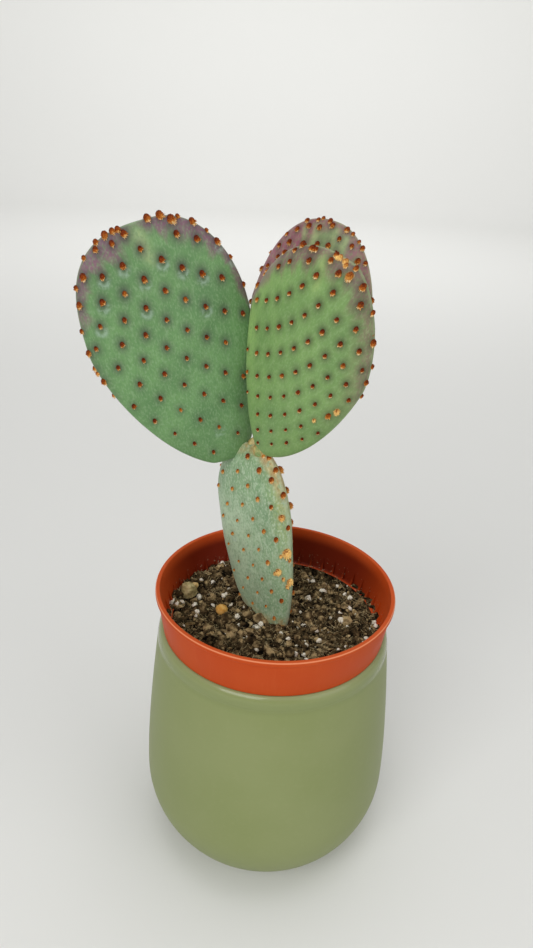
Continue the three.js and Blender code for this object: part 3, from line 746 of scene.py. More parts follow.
# Rows of (ratio, angle, face): where two families of curved rows cross, then along the rim.
def areoleSpots(pad):
    spots = []
    for a in range(-10, 11):
        for b in range(-10, 13):
            u, v = latticePoint(pad["areoles"], a, b)
            angle = math.atan2(v - pad["root"], u)
            ratio = math.hypot(u, v - pad["root"]) / float(outlineRadius(pad, angle))
            if ratio < areole["faceEdge"] and latticeSpread(pad["areoles"], a, b) > areole["fold"]:
                spots.append((ratio, angle, -1))
                spots.append((ratio, math.pi - angle, 1))
    taken = padPoint(pad, *np.array(spots).T)
    draw = seededRandom(pad["seed"])
    angle, side = math.radians(areole["rimStart"]), 1
    while angle < math.radians(areole["rimEnd"]):
        here = padPoint(pad, areole["rimRatio"], angle, side)
        if np.linalg.norm(taken - here, axis=1).min() > areole["rimClear"]:
            spots.append((areole["rimRatio"], angle, side))
        step = areole["rimPitch"] * (areole["rimLeast"] + areole["rimVary"] * next(draw))
        angle += step / float(outlineRadius(pad, angle))
        side = -side
    return np.array(spots)


def areoleFrames(pad):  # places and outward directions in the pad's own frame, with sizes
    ratio, angle, face = areoleSpots(pad).T
    here = padPoint(pad, ratio, angle, face)
    inner = padPoint(pad, ratio - 0.01, angle, face)
    aside = padPoint(pad, ratio, angle + 0.01, face)
    outward = np.cross(inner - here, aside - here)
    outward /= np.linalg.norm(outward, axis=1)[:, None]
    middle = np.stack([0 * ratio, here[:, 0] ** 2 / (2 * pad["bendRadius"]), 0 * ratio + pad["root"]], -1)
    away = np.sign(np.sum(outward * (here - middle), axis=1))
    outward *= away[:, None]
    onRim = ratio > areole["faceEdge"]
    rise = here[:, 2] / (pad["root"] + pad["tip"])
    size = pad["areoleSize"] * (areole["lowSize"] + areole["growth"] * rise ** 2)
    size *= np.where(onRim, pad["rimBoost"], 1)
    size *= 1 + pad["rightGrowth"] * smoothStep(here[:, 0] / pad["right"], 0.1, 0.9) * (1 - 0.6 * onRim)
    world = toWorld(pad, here)
    blocked = insideNeck(world, areole["clear"])
    for other in pads:
        if other is not pad:
            blocked |= insidePad(other, world, areole["clear"])
    blocked |= world[:, 2] < areole["soilLevel"] + areole["aboveSoil"]
    keep = ~blocked
    return here[keep], outward[keep], size[keep], onRim[keep], rise[keep], angle[keep]


def makePadSkin(pad):
    finish, tree, shader, _ = newFinish(pad["name"] + "Skin")
    place = attribute(tree, "padPlace", "Vector")

    def pattern(name):
        tall, *levels = skin[name]
        return patches(tree, place if tall == 1 else scaleVector(tree, place, (1, 1, tall)), *levels)

    colour = mixColour(tree, pattern("soft"), pad["deep"], pad["green"])
    # Painted light: the base pad's lower half is lightened, most on its left.
    if "paintedLight" in pad:
        across, _, up = separate(tree, place)
        paintedLightStrength = times(tree, spread(tree, up, *skin["paintedLightTop"]), pad["paintedLightStrength"],
                        spread(tree, up, *skin["paintedLightFoot"]), spread(tree, across, *skin["paintedLightSide"]))
        colour = paint(tree, colour, (paintedLightStrength, 1, pad["paintedLight"]),
                       (pattern("mottles"), pad["mottled"], pad["pale"]))
    way = attribute(tree, "rimWay")
    streaky = patches(tree, attribute(tree, "rimPlace", "Vector"), *skin["blushed"])
    depth = times(tree, attribute(tree, "blushDepth"), calc(tree, "MULTIPLY_ADD", streaky, 0.8, 0.6))
    inner = calc(tree, "SUBTRACT", 1.0, calc(tree, "MAXIMUM", depth, 0.01))
    outer = calc(tree, "MULTIPLY_ADD", depth, -0.3, 1.0)
    blush = times(tree, attribute(tree, "blushStrength"), spread(tree, way, inner, outer))
    flecks = pattern("flecks")
    chalk = times(tree, attribute(tree, "scuff"), pattern("chalky"))
    corky = times(tree, attribute(tree, "cork"), pattern("corky"))
    bark = ramp(tree, pattern("barky"), [(0, skin["bark"]), (1, skin["paleBark"])])
    # The thin pale line at the very rim of each pad is a painted highlight.
    colour = paint(
        tree, colour, (attribute(tree, "glowMask"), 1, pad["glow"]),
        (attribute(tree, "marginMask"), 1, pad["margin"]), (blush, 1, pad["purple"]),
        (attribute(tree, "rayMask"), 1, pad["ray"]),
        (pattern("streaks"), skin["streaky"] * pad["grainy"], pad["pale"]),
        (flecks, skin["flecked"] * pad["grainy"], pad["pale"]), (pattern("pits"), pad["pitted"], pad["deep"]),
        (attribute(tree, "halo"), pad["haloStrength"], pad["halo"]), (chalk, skin["chalked"], skin["chalk"]),
        (corky, 1, bark), (spread(tree, way, *skin["rimHighlight"]), 1, pad["pale"]))
    fill(tree, shader, {
        "Base Color": colour, "Roughness": spread(tree, flecks, 0, 1, *skin["roughness"]),
        "Specular IOR Level": skin["specular"], "Sheen Weight": skin["sheen"], "Sheen Roughness": 0.5,
        "Normal": grain(tree, place, *skin["grain"])})
    return finish


# The tufts. The stops of rust and golden run from a tuft's lit side to its shaded one.
tufts = {
    "bristles": 40, "length": 0.00056, "width": 0.00015, "cushionRadius": 0.00106, "cushionHeight": 0.00100,
    "opening": 84, "narrow": 0.84, "drawn": 1.14, "shadedWay": (-0.24, 0.94, 0.26),
    "rust": [(0.0, (0.860, 0.680, 0.420)), (0.17, (0.760, 0.430, 0.130)), (0.33, (0.440, 0.120, 0.012)),
             (0.58, (0.215, 0.034, 0.003)), (1.0, (0.070, 0.008, 0.002))],
    "golden": [(0.0, (0.880, 0.720, 0.450)), (0.34, (0.780, 0.400, 0.085)), (0.64, (0.520, 0.155, 0.012)),
               (1.0, (0.220, 0.045, 0.004))],
    "cream": (0.90, 0.60, 0.20), "roughness": 0.7, "specular": 0.12, "specks": (1700, 0.35, 0.65, 1),
    "grain": (2200, 0.4, 0.0003, 2), "seat": 0.86, "lengths": (0.55, 1.0), "shortened": -0.55,
}


def makeTuftFinish():
    finish, tree, shader, place = newFinish("rustTufts")
    pale = attribute(tree, "pale")
    speckle = calc(tree, "SUBTRACT", patches(tree, place, *tufts["specks"]), 0.5)
    lift = calc(tree, "ADD", attribute(tree, "tuftUp"), times(tree, speckle, 0.55))
    level = calc(tree, "ADD", times(tree, lift, 0.5), 0.5, clamp=True)
    cream = times(tree, spread(tree, pale, 0.5, 0.95), spread(tree, level, 1.15, 0.45))
    colour = paint(tree, ramp(tree, level, tufts["rust"]), (pale, 1, ramp(tree, level, tufts["golden"])),
                   (cream, 1, tufts["cream"]))
    fill(tree, shader, {
        "Base Color": colour, "Roughness": tufts["roughness"], "Specular IOR Level": tufts["specular"],
        "Normal": grain(tree, place, *tufts["grain"])})
    return finish


def crescent(tree, way):  # how far a direction points up and to the left, away from a tuft's pale side
    return vectorCalc(tree, "DOT_PRODUCT", way, tufts["shadedWay"], output="Value")


def makeTuftTree():  # a low cushion and a brush of short bristles at each point
    tree, given, result = newGrowth("areoleTufts", {
        "bristles": 16, "length": 0.001, "width": 0.0002, "cushionRadius": 0.001, "cushionHeight": 0.001,
        "narrow": 1.0, "drawn": 1.0, "opening": 1.0, "seed": 0})
    size = named(tree, "size")
    facing = wire(tree, "FunctionNodeAxesToRotation", {
        "Primary Axis": named(tree, "outward", "FLOAT_VECTOR"),
        "Secondary Axis": named(tree, "upward", "FLOAT_VECTOR")}, primary_axis="Z", secondary_axis="Y")
    ball = wire(tree, "GeometryNodeMeshUVSphere", {"Segments": 10, "Rings": 6, "Radius": 1.0})
    ball = keepValue(tree, ball, "tuftUp", crescent(tree, position(tree)))
    wide = times(tree, given["cushionRadius"], size)
    ballScale = combine(tree, times(tree, wide, given["narrow"]), times(tree, wide, given["drawn"]),
                        times(tree, given["cushionHeight"], size))
    cushions = instances(tree, given["Geometry"], ball, facing, ballScale)

    copies = wire(tree, "GeometryNodeDuplicateElements", {
        "Geometry": given["Geometry"], "Amount": given["bristles"]}, domain="POINT")
    around = drawValue(tree, 0.0, 2 * math.pi, given["seed"])
    tilt = times(tree, given["opening"], calc(tree, "SQRT", drawValue(tree, 0.0, 1.0, 7)))
    lean = rotation(tree, combine(tree, 0.0, tilt, around))
    pointing = wire(tree, "FunctionNodeRotateRotation", {0: facing, 1: lean}, rotation_space="LOCAL")
    way = wire(tree, "FunctionNodeRotateVector", {0: (0, 0, 1), 1: lean})
    copies = keepValue(tree, copies, "tuftUp", crescent(tree, way))
    step = scaleVector(tree, scaleVector(tree, way, ballScale), (tufts["seat"],) * 3)
    copies = shifted(tree, copies, wire(tree, "FunctionNodeRotateVector", {0: step, 1: facing}))
    hair = wire(tree, "GeometryNodeMeshCone", {
        "Vertices": 4, "Side Segments": 1, "Radius Top": 0.0, "Radius Bottom": 1.0, "Depth": 1.0})
    thick = times(tree, given["width"], size)
    long = times(tree, given["length"], size, drawValue(tree, *tufts["lengths"], 5),
                 calc(tree, "MULTIPLY_ADD", named(tree, "tuftUp"), tufts["shortened"], 1.0))
    hairs = instances(tree, copies, hair, pointing, combine(tree, thick, thick, long))
    both = addNode(tree, "GeometryNodeJoinGeometry")
    for part in (cushions, hairs):
        tree.links.new(part, both.inputs[0])
    return endGrowth(tree, both.outputs[0], given, result)


tuftTree = makeTuftTree()
tuftFinish = makeTuftFinish()

# Column and row where the camera sees a tuft, its radius in tenths of a millimetre and its paleness in
# hundredths. Above 50 it is corky.
seenTufts = {
    "left_pad": [
        (146, 219, 18, 14), (159, 215, 16, 20), (171, 219, 19, 11), (177, 215, 11, 20), (193, 221, 17, 11),
        (207, 230, 10, 18), (216, 241, 14, 9), (231, 255, 11, 14), (244, 284, 11, 5), (124, 233, 15, 2),
        (118, 229, 14, 5), (112, 231, 12, 16), (104, 236, 14, 16), (95, 242, 11, 18), (111, 244, 12, 2),
        (96, 249, 13, 7), (83, 258, 11, 16), (83, 277, 14, 5), (75, 287, 11, 18), (79, 305, 12, 20),
        (81, 332, 9, 14),
    ],
    "base_pad": [
        (287, 554, 21, 95), (281, 557, 9, 90), (279, 572, 14, 85), (275, 574, 8, 80), (284, 579, 8, 80),
        (291, 581, 16, 90), (288, 586, 9, 90), (294, 560, 9, 60), (262, 443, 10, 80), (256, 446, 9, 90),
        (264, 456, 11, 55), (270, 458, 12, 16), (278, 469, 12, 14), (259, 470, 12, 16), (271, 480, 15, 11),
        (283, 495, 14, 20), (271, 507, 11, 20), (282, 518, 15, 70), (291, 528, 13, 14), (276, 540, 11, 14),
        (281, 601, 10, 18), (248, 456, 12, 7),
    ],
    "right_front_pad": [
        (337, 257, 9, 90), (341, 258, 10, 75), (345, 261, 11, 70), (347, 266, 9, 60), (350, 277, 14, 55),
        (331, 260, 11, 9), (336, 254, 11, 5), (337, 412, 12, 80), (329, 416, 11, 50), (314, 421, 8, 90),
        (285, 252, 10, 5), (295, 250, 10, 2), (303, 245, 12, 5), (312, 248, 12, 2), (316, 249, 11, 2),
        (310, 260, 10, 2), (357, 269, 12, 18), (338, 273, 11, 2), (363, 287, 14, 11), (361, 306, 13, 7),
        (373, 312, 10, 9),
    ],
    "right_back_pad": [
        (308, 221, 10, 9), (319, 220, 9, 5), (324, 219, 9, 9), (330, 221, 11, 2), (332, 225, 10, 5),
        (309, 226, 11, 2), (320, 227, 10, 2), (297, 229, 12, 5), (287, 234, 9, 9), (290, 242, 12, 2),
        (279, 245, 10, 5), (347, 230, 11, 9), (354, 235, 10, 7), (360, 241, 9, 5), (363, 249, 10, 5),
        (340, 239, 10, 2), (328, 245, 10, 5), (352, 247, 10, 5), (358, 261, 11, 7), (366, 264, 9, 5),
        (303, 244, 12, 5),
    ],
}


def padGrid(pad):  # front face, back face and the rim that they share
    rings, spokes = padMesh["rings"], padMesh["spokes"]
    ratios = 1 - (1 - np.linspace(0, 1, rings + 1)) ** padMesh["rimCrowding"]
    turns = np.arange(spokes) * 2 * math.pi / spokes
    ratioGrid, angleGrid = np.meshgrid(ratios[1:-1], turns, indexing="ij")
    ratio, angle, face, rows = [], [], [], []
    for side in (-1, 1):
        start = len(ratio)
        ratio += [0.0, *ratioGrid.ravel()]
        angle += [0.0, *angleGrid.ravel()]
        face += [side] * (len(ratio) - start)
        rows.append([(start, 1)] + [(start + 1 + k * spokes, spokes) for k in range(rings - 1)])
    rim = (len(ratio), spokes)
    ratio += [1.0] * spokes
    angle += list(turns)
    face += [1] * spokes
    frontFaces = [f[::-1] for f in ringRows(rows[0] + [rim])]
    backFaces = ringRows(rows[1] + [rim])
    return np.array(ratio), np.array(angle), np.array(face), frontFaces + backFaces


# The places on a pad's front that the camera sees nearest to the given pixels.
def onPad(pad, columns, rows):
    ratio, angle, face, _ = padGrid(pad)
    local = padPoint(pad, ratio[face < 0], angle[face < 0], -1)
    right, up, ahead = cameraAxes()
    way = toWorld(pad, local) - np.array(view["place"])
    depth = way @ ahead
    seenColumns = view["frameWidth"] / 2 + view["focalPixels"] * (way @ right) / depth
    seenRows = view["frameHeight"] / 2 - view["focalPixels"] * (way @ up) / depth
    return np.array([local[(np.hypot(seenColumns - column, seenRows - row) + 60 * depth).argmin()]
                     for column, row in zip(columns, rows)])


def padTufts(pad):  # the rule's tufts, with those that the camera sees elsewhere put right
    rule = areoleFrames(pad)
    spots, onRim = rule[0], rule[3]
    columns, rows, radius, tone = np.array(seenTufts[pad["node"]]).T
    radius, tone = radius / 10000, tone / 100
    seen = onPad(pad, columns, rows)
    gap = np.linalg.norm(spots[:, None] - seen, axis=2).min(axis=1)
    keep = gap > np.where(onRim, areole["seenRimClear"], areole["seenClear"])
    angle = np.arctan2(seen[:, 2] - pad["root"], seen[:, 0])
    ratio = np.hypot(seen[:, 0], seen[:, 2] - pad["root"]) / outlineRadius(pad, angle)
    turned = 0.45 * smoothStep(ratio, 0.85, 1.0)
    outward = np.stack([turned * np.cos(angle), 0 * angle - 1, turned * np.sin(angle)], -1)
    outward /= np.linalg.norm(outward, axis=1)[:, None]
    added = (seen, outward, radius / tufts["cushionRadius"], np.zeros(len(seen), bool),
             seen[:, 2] / (pad["root"] + pad["tip"]), angle)
    merged = [np.concatenate([old[keep], new]) for old, new in zip(rule, added)]
    return *merged, np.concatenate([np.full(int(keep.sum()), -1.0), tone])


def paintSpots(local, spots, size, rise, draw, pad):  # masks of the stains, hollows and chalky rings
    halo, dimple, scuff = (np.zeros(len(local)) for _ in range(3))
    scuffed = (draw.random(len(spots)) < pad["scuffs"] * (0.3 + 1.4 * rise)) & (rise < 0.9)
    for place in onPad(pad, *np.array(pad["chalked"]).reshape(-1, 2).T):
        scuffed[np.linalg.norm(spots - place, axis=1).argmin()] = True
    depth = draw.uniform(0.75, 1.0, len(spots)) * (0.45 + 0.55 * smoothStep(rise, 0.15, 0.75))
    for spot, big, strong, marked in zip(spots, size, depth, scuffed):
        near = np.abs(local - spot).max(axis=1) < areole["nearBy"]
        gap = (local[near] - spot) * np.array([1, 1, areole["haloTall"]])
        off = np.linalg.norm(gap, axis=1)
        halo[near] = np.maximum(halo[near], strong * np.exp(-(off / (areole["haloReach"] * big)) ** 2))
        dimple[near] = np.maximum(dimple[near], np.exp(-(off / areole["dimpleReach"]) ** 2))
        if marked:
            ring = np.linalg.norm(local[near] - (spot - np.array([0, 0, areole["scuffDrop"]])), axis=1)
            low = smoothStep(spot[2] - local[near][:, 2], *areole["scuffFade"])
            off = (ring - areole["scuffRadius"]) / areole["scuffWidth"]
            scuff[near] = np.maximum(scuff[near], low * np.exp(-off ** 2))
    return halo, dimple, scuff


def padLayers(pad, local, ratio, angle, masks):  # what the skin's finish reads at each point
    at, deep, strong = np.array(pad["blush"], float).T
    layers = dict(zip(("halo", "scuff"), masks))
    for name, stops in (("blushDepth", deep), ("blushStrength", strong)):
        layers[name] = np.interp(np.degrees(angle), at, stops, period=360)
    rays = np.zeros(len(local))
    for centre, wide in pad["rays"]:
        streak = np.exp(-(angleGap(angle, centre) / math.radians(wide)) ** 2)
        rays = np.maximum(rays, 0.9 * streak * smoothStep(ratio, 0.58, 0.72) * smoothStep(ratio, 1.0, 0.9))
    layers["rayMask"] = rays
    for name in ("margin", "glow"):
        side, wide, strength = pad[name + "Side"]
        nearSide = strength * np.exp(-(angleGap(angle, side) / math.radians(wide)) ** 2)
        layers[name + "Mask"] = nearSide * smoothStep(ratio, 0.6, 0.98)
    return layers


def padCork(pad, local, world, ratio, angle, corky):  # the base pad's corky edges and each corky tuft's seat
    cork = np.zeros(len(local))
    if pad is basePad:
        side = np.exp(-(angleGap(angle, skin["corkAngle"]) / skin["corkSpread"]) ** 2)
        cork = 0.9 * smoothStep(ratio, *skin["corkEdge"]) * side
        nearSoil = smoothStep(world[:, 2], *skin["soilLine"])
        cork = np.maximum(cork, nearSoil * (0.35 + 0.65 * smoothStep(ratio, 0.88, 0.96)))
    for spot, big in corky:
        off = np.linalg.norm(local - spot, axis=1) / (big * tufts["cushionRadius"])
        cork = np.maximum(cork, smoothStep(off, 1.4, 0.8))
    return cork


def growTufts(pad, spots, outward, size, pale):
    turn = padPlacement(pad)[:3, :3]
    carrier = meshPiece("tuftCarrier", toWorld(pad, spots), [])
    upward = np.tile(turn[:, 2], (len(spots), 1)) + 0.001
    storeValues(carrier, outward=outward @ turn.T, upward=upward, size=size, pale=pale)
    piece = growMesh(pad["name"] + "Tufts", carrier, tuftTree, {
        **tufts, "opening": math.radians(tufts["opening"]), "seed": pad["seed"], "finish": tuftFinish})
    settle(piece, pad["slot"], pad["node"])


def makePad(pad):
    ratio, angle, face, faces = padGrid(pad)
    local = padPoint(pad, ratio, angle, face)
    spots, outward, size, onRim, rise, spotAngle, tone = padTufts(pad)
    draw = np.random.default_rng(pad["seed"])
    halo, dimple, scuff = paintSpots(local, spots, size, rise, draw, pad)
    layers = padLayers(pad, local, ratio, angle, (halo, scuff))
    inward = np.stack([0 * ratio, -face, 0 * ratio], -1)
    local = local + inward * (areole["dimple"] * dimple * (1 - ratio ** 6))[:, None]
    world = toWorld(pad, local)
    corky = list(zip(spots[tone > 0.5], size[tone > 0.5]))
    layers["cork"] = padCork(pad, local, world, ratio, angle, corky)
    layers |= {"rimWay": ratio, "padPlace": local,
               "rimPlace": np.stack([np.cos(angle), np.sin(angle), 0.12 * ratio], -1)}
    points, allFaces = world.tolist(), list(faces)
    if pad["node"] in necks:
        neck = necks[pad["node"]]
        turns = [(0, 1)] + [(math.sin(t), math.cos(t)) for t in np.linspace(0, math.pi, 19)[1:-1]] + [(0, -1)]
        ball, ballFaces = latheMesh([(radius, -height) for radius, height in turns], 36)
        ball = np.array(ball) * np.array(neck["radii"]) + np.array(neck["centre"])
        addPart(points, allFaces, ball, ballFaces)
        for name, values in layers.items():
            more = ball if values.ndim == 2 else np.full(len(ball), 0.8 if name == "cork" else 0.0)
            layers[name] = np.concatenate([values, more])
    piece = meshPiece(pad["name"], points, allFaces, makePadSkin(pad))
    storeValues(piece, **layers)
    settle(piece, pad["slot"], pad["node"])

    size = size * draw.uniform(*areole["sizes"], len(spots))
    pale = (draw.random(len(spots)) < pad["paleTufts"]) * draw.uniform(*areole["paleness"], len(spots))
    least = np.maximum(areole["rimPaleness"] * onRim, pad["golden"])
    pale = np.where(tone < 0, np.maximum(pale, least), tone)
    twin = onRim & (draw.random(len(spots)) < pad["crowd"] * smoothStep(rise, *areole["crowdRise"]))
    along = np.stack([-np.sin(spotAngle), 0 * rise, np.cos(spotAngle)], -1)[twin]
    shift = along * draw.uniform(*areole["twinSteps"], (int(twin.sum()), 1)) * areole["twinStep"]
    shift[:, 1] += draw.uniform(-areole["twinSide"], areole["twinSide"], int(twin.sum()))
    growTufts(pad, np.concatenate([spots, spots[twin] + shift]), np.concatenate([outward, outward[twin]]),
              np.concatenate([size, size[twin] * areole["twinSize"]]), np.concatenate([pale, pale[twin]]))


for pad in pads:
    makePad(pad)
    print(pad["name"], "made")

# The soil. Beside the pad it lies lower near the wall, in the direction of lowAngle. A grain's sink is
# how far it lies down into the bed, as a share of its size. shade is a range of the finish's ramp.
soilBed = {
    "level": 0.1204, "riseToBack": 0.0014, "lump": 0.0009, "mound": 0.0016, "wallRise": 0.0030,
    "wallRiseStart": 0.041, "topRadius": 0.0502, "neckRadius": 0.0471, "floorRadius": 0.0352, "floor": 0.0451,
    "ledge": 0.1226, "wallRadius": 0.0512, "rings": 90, "spokes": 260, "roughness": 0.0019, "lowAngle": 60,
    "lowSpread": 28, "lowBy": 0.0030, "lowZone": (0.034, 0.045), "shade": (0.12, 0.78), "padGap": 0.0008,
    "stoneGap": 0.0009, "ledgeGap": 0.0003, "grainShare": 1.4,
    "colours": [(0.0030, 0.0020, 0.0010), (0.082, 0.054, 0.025), (0.400, 0.290, 0.145)],
}
grainKeys = ("density", "low", "high", "squash", "rough", "sink", "seed")
fineCrumbs = dict(zip(grainKeys, (420000, 0.0003, 0.0009, 0.85, 0.6, 0.1, 21)))
coarseCrumbs = dict(zip(grainKeys, (46000, 0.0009, 0.0023, 0.8, 0.8, -0.1, 22)))
clods = dict(zip(grainKeys, (10000, 0.0016, 0.0036, 0.75, 0.85, 0.0, 26)))
bark = {**dict(zip(grainKeys, (24000, 0.0007, 0.0020, 0.35, 0.5, -0.3, 23))),
        "colours": [(0.030, 0.018, 0.008), (0.210, 0.140, 0.062), (0.480, 0.360, 0.190)]}
perlite = {
    "density": 15000, "low": 0.0004, "high": 0.0012, "squash": 0.85, "rough": 0.62, "sink": -0.3, "seed": 24,
    "colours": [(0.30, 0.27, 0.19), (0.66, 0.60, 0.48), (0.84, 0.79, 0.68)],
    "seenSize": 0.0014,
    "seen": [  # column, row and size of the larger grains, where the camera sees them
        (172, 601, 1.3), (177, 605, 1.0), (182, 603, 0.9), (199, 598, 1.2), (195, 606, 1.2), (197, 613, 1.1),
        (213, 604, 0.9), (213, 576, 1.1), (222, 564, 1.1), (226, 568, 1.0), (230, 590, 1.0), (224, 596, 0.9),
        (237, 617, 1.1), (256, 629, 1.3), (261, 624, 1.1), (295, 655, 1.2), (288, 641, 0.8), (313, 582, 0.9),
        (323, 592, 1.5), (308, 600, 1.2), (350, 599, 1.0), (349, 609, 1.1), (339, 615, 1.1), (341, 621, 1.3),
        (316, 631, 0.9), (319, 642, 1.1), (374, 623, 1.0), (375, 630, 0.9), (337, 587, 0.8), (281, 634, 0.9),
    ],
}
fibres = {"density": 480000, "length": 0.0038, "radius": 0.000115, "bend": 0.0024, "lift": 0.0006, "seed": 25,
          "colours": [(0.012, 0.008, 0.003), (0.130, 0.094, 0.045), (0.560, 0.450, 0.250)]}


def soilRelief(x, y):
    cloud = noise.fractal(Vector((x, y, 0.3)) * 230, 0.9, 2.1, 4)
    ridged = abs(noise.noise(Vector((x, y, 0.7)) * 520))
    return 0.7 * cloud + 0.7 * ridged


def soilHeight(x, y):
    bed = soilBed
    ripple = math.sin(310 * x + 1.1) * math.cos(270 * y) + 0.6 * math.sin(620 * y - 400 * x)
    height = bed["level"] + bed["riseToBack"] * (y / 0.048) + bed["lump"] * ripple
    radius, turn = math.hypot(x, y), math.atan2(y, x)
    gap = angleGap(np.array(turn), bed["lowAngle"]) / math.radians(bed["lowSpread"])
    rise = bed["wallRise"] * (1 - 0.85 * math.exp(-float(gap) ** 2))
    height += rise * float(smoothStep(np.array(radius), bed["wallRiseStart"], bed["topRadius"]))
    height -= bed["lowBy"] * math.exp(-float(gap) ** 2) * float(smoothStep(np.array(radius), *bed["lowZone"]))
    height += bed["mound"] * noise.noise(Vector((x, y, 0.2)) * 150) + bed["roughness"] * soilRelief(x, y)
    return max(height, bed["ledge"] + 0.00002) if radius > bed["neckRadius"] - 0.0002 else height


def onSoil(column, row):  # where the sight line through a pixel meets the soil
    eye, way = Vector(view["place"]), sightLine(column, row)
    level = soilBed["level"]
    for _ in range(6):
        place = eye + way * ((level - eye.z) / way.z)
        level = soilHeight(place.x, place.y)
    return Vector((place.x, place.y, level))


def makeSoilFinish(name, stops, scale, roughness):
    finish, tree, shader, place = newFinish(name)
    cloud = patches(tree, place, scale, 0.32, 0.7, 5)
    shade = calc(tree, "ADD", times(tree, cloud, 0.5), times(tree, attribute(tree, "shade"), 0.6))
    start, reach = soilBed["shade"]
    colour = ramp(tree, shade, [(start + reach * k / (len(stops) - 1), stop) for k, stop in enumerate(stops)])
    fill(tree, shader, {"Base Color": colour, "Roughness": roughness, "Specular IOR Level": 0.05,
                        "Normal": grain(tree, place, 1700, 0.9, 0.0005, 4)})
    return finish


def makeSoilBed(finish):
    bed = soilBed
    sides = [(0, bed["floor"]), (bed["floorRadius"], bed["floor"]), (bed["neckRadius"], bed["ledge"]),
             (bed["topRadius"], bed["ledge"])]
    top = [(bed["topRadius"] * k / bed["rings"], 0) for k in range(bed["rings"], -1, -1)]
    points, faces = latheMesh(sides + top, bed["spokes"])
    firstTop = 1 + (len(sides) - 1) * bed["spokes"]
    for k in range(firstTop, len(points)):
        x, y, _ = points[k]
        points[k] = (x, y, soilHeight(x, y))
    piece = meshPiece("soilBed", points, faces, finish)
    # On the bed, shade is painted shade: the hollows of the relief are painted darker.
    storeValues(piece, shade=[0.05 + 0.4 * soilRelief(x, y) for x, y, _ in points])
    settle(piece, "soil_mix", "soil")
    topFaces = [[k - firstTop for k in face] for face in faces if min(face) >= firstTop]
    return points[firstTop:], topFaces


def soilCarrier(points, faces, largest):  # the open soil, where grains of up to the given radius may lie
    carrier = meshPiece("soilCarrier", points, faces)
    places = np.array(points)
    away = np.hypot(places[:, 0], places[:, 1])
    shut = insidePad(basePad, places, soilBed["padGap"])
    for stone in stones:
        gap = np.linalg.norm(places[:, :2] - np.array(stone["place"][:2]), axis=1)
        shut |= gap < stone["radii"][0] + soilBed["stoneGap"]
    shut |= (away > 0.0470) & (places[:, 2] < soilBed["ledge"] + soilBed["ledgeGap"])
    shut |= away > soilBed["wallRadius"] - soilBed["grainShare"] * largest
    storeValues(carrier, open=1.0 - shut)
    return carrier


def openPoints(tree, given):  # points at random over the open soil
    density = times(tree, given["density"], named(tree, "open"))
    return wire(tree, "GeometryNodeDistributePointsOnFaces", {
        "Mesh": given["Geometry"], "Density": density, "Seed": given["seed"]}, distribute_method="RANDOM")


def wobble(tree, place, scale, strength):  # a shift by noise
    cloud = wire(tree, "ShaderNodeTexNoise", {"Vector": place, "Scale": scale, "Detail": 1.0}, "Color")
    return growVector(tree, vectorCalc(tree, "SUBTRACT", cloud, (0.5, 0.5, 0.5)), strength)


# A chip, a cube's grid blown up to a ball and roughened, at each point, leant, turned and drawn out.
def setChips(tree, given, points, size, lean, least, most, seed):
    ball = vectorCalc(tree, "NORMALIZE", position(tree))
    shape = vectorCalc(tree, "ADD", ball, wobble(tree, ball, 1.7, times(tree, given["rough"], 2.0)))
    shape = scaleVector(tree, shape, combine(tree, 1.0, 1.0, given["squash"]))
    chip = reshaped(tree, cubeGrid(tree, 3, 3), shape)
    turn = rotation(tree, drawVector(tree, (-lean, -lean, 0.0), (lean, lean, 2 * math.pi), seed))
    scale = growVector(tree, drawVector(tree, least, most, seed + 1), size)
    return instances(tree, points, chip, turn, scale)


def makeScatterTree():  # loose grains lying on the soil, turned and sized at random
    tree, given, result = newGrowth("looseGrains", {
        "density": 1000.0, "low": 0.001, "high": 0.002, "squash": 1.0, "rough": 0.3, "sink": 0.0, "seed": 0})
    size = drawValue(tree, 0.0, 1.0, 3)
    size = wire(tree, "ShaderNodeMapRange", {
        0: times(tree, size, size), 1: 0.0, 2: 1.0, 3: given["low"], 4: given["high"]})
    down = combine(tree, z=times(tree, size, given["sink"], -1.0))
    points = shifted(tree, openPoints(tree, given), down)
    points = keepValue(tree, points, "shade", drawValue(tree, 0.0, 1.0, 4))
    chips = setChips(tree, given, points, size, 0.5, (0.65, 0.65, 0.7), (1.35, 1.35, 1.2), 5)
    return endGrowth(tree, chips, given, result)


def makePlacedTree():  # one grain at each given point, of the size it carries
    tree, given, result = newGrowth("placedGrains", {"squash": 1.0, "rough": 0.3})
    points = keepValue(tree, given["Geometry"], "shade", drawValue(tree, 0.6, 1.0, 1))
    chips = setChips(tree, given, points, named(tree, "size"), 0.6, (0.75, 0.75, 0.75), (1.3, 1.3, 1.2), 2)
    return endGrowth(tree, chips, given, result)


def makeFibreTree():  # short curved roots and coir threads
    tree, given, result = newGrowth("fibres", {
        "density": 1000.0, "length": 0.005, "radius": 0.0001, "bend": 0.001, "lift": 0.0003, "seed": 0})
    points = shifted(tree, openPoints(tree, given), combine(tree, z=given["lift"]))
    points = keepValue(tree, points, "shade", drawValue(tree, 0.0, 1.0, 2))
    thread = wire(tree, "GeometryNodeCurvePrimitiveLine", {"Start": (-0.5, 0, 0), "End": (0.5, 0, 0)})
    thread = wire(tree, "GeometryNodeResampleCurve", {"Curve": thread, "Count": 6})
    turn = rotation(tree, drawVector(tree, (0.0, -0.75, 0.0), (0.0, 0.75, 2 * math.pi), 3))
    long = times(tree, given["length"], drawValue(tree, 0.35, 1.0, 4))
    threads = instances(tree, points, thread, turn, long)
    threads = wire(tree, "GeometryNodeRealizeInstances", {"Geometry": threads})
    threads = shifted(tree, threads, wobble(tree, position(tree), 260.0, given["bend"]))
    section = wire(tree, "GeometryNodeCurvePrimitiveCircle", {"Resolution": 3, "Radius": given["radius"]})
    tubes = wire(tree, "GeometryNodeCurveToMesh", {
        "Curve": threads, "Profile Curve": section, "Fill Caps": True})
    return endGrowth(tree, tubes, given, result)


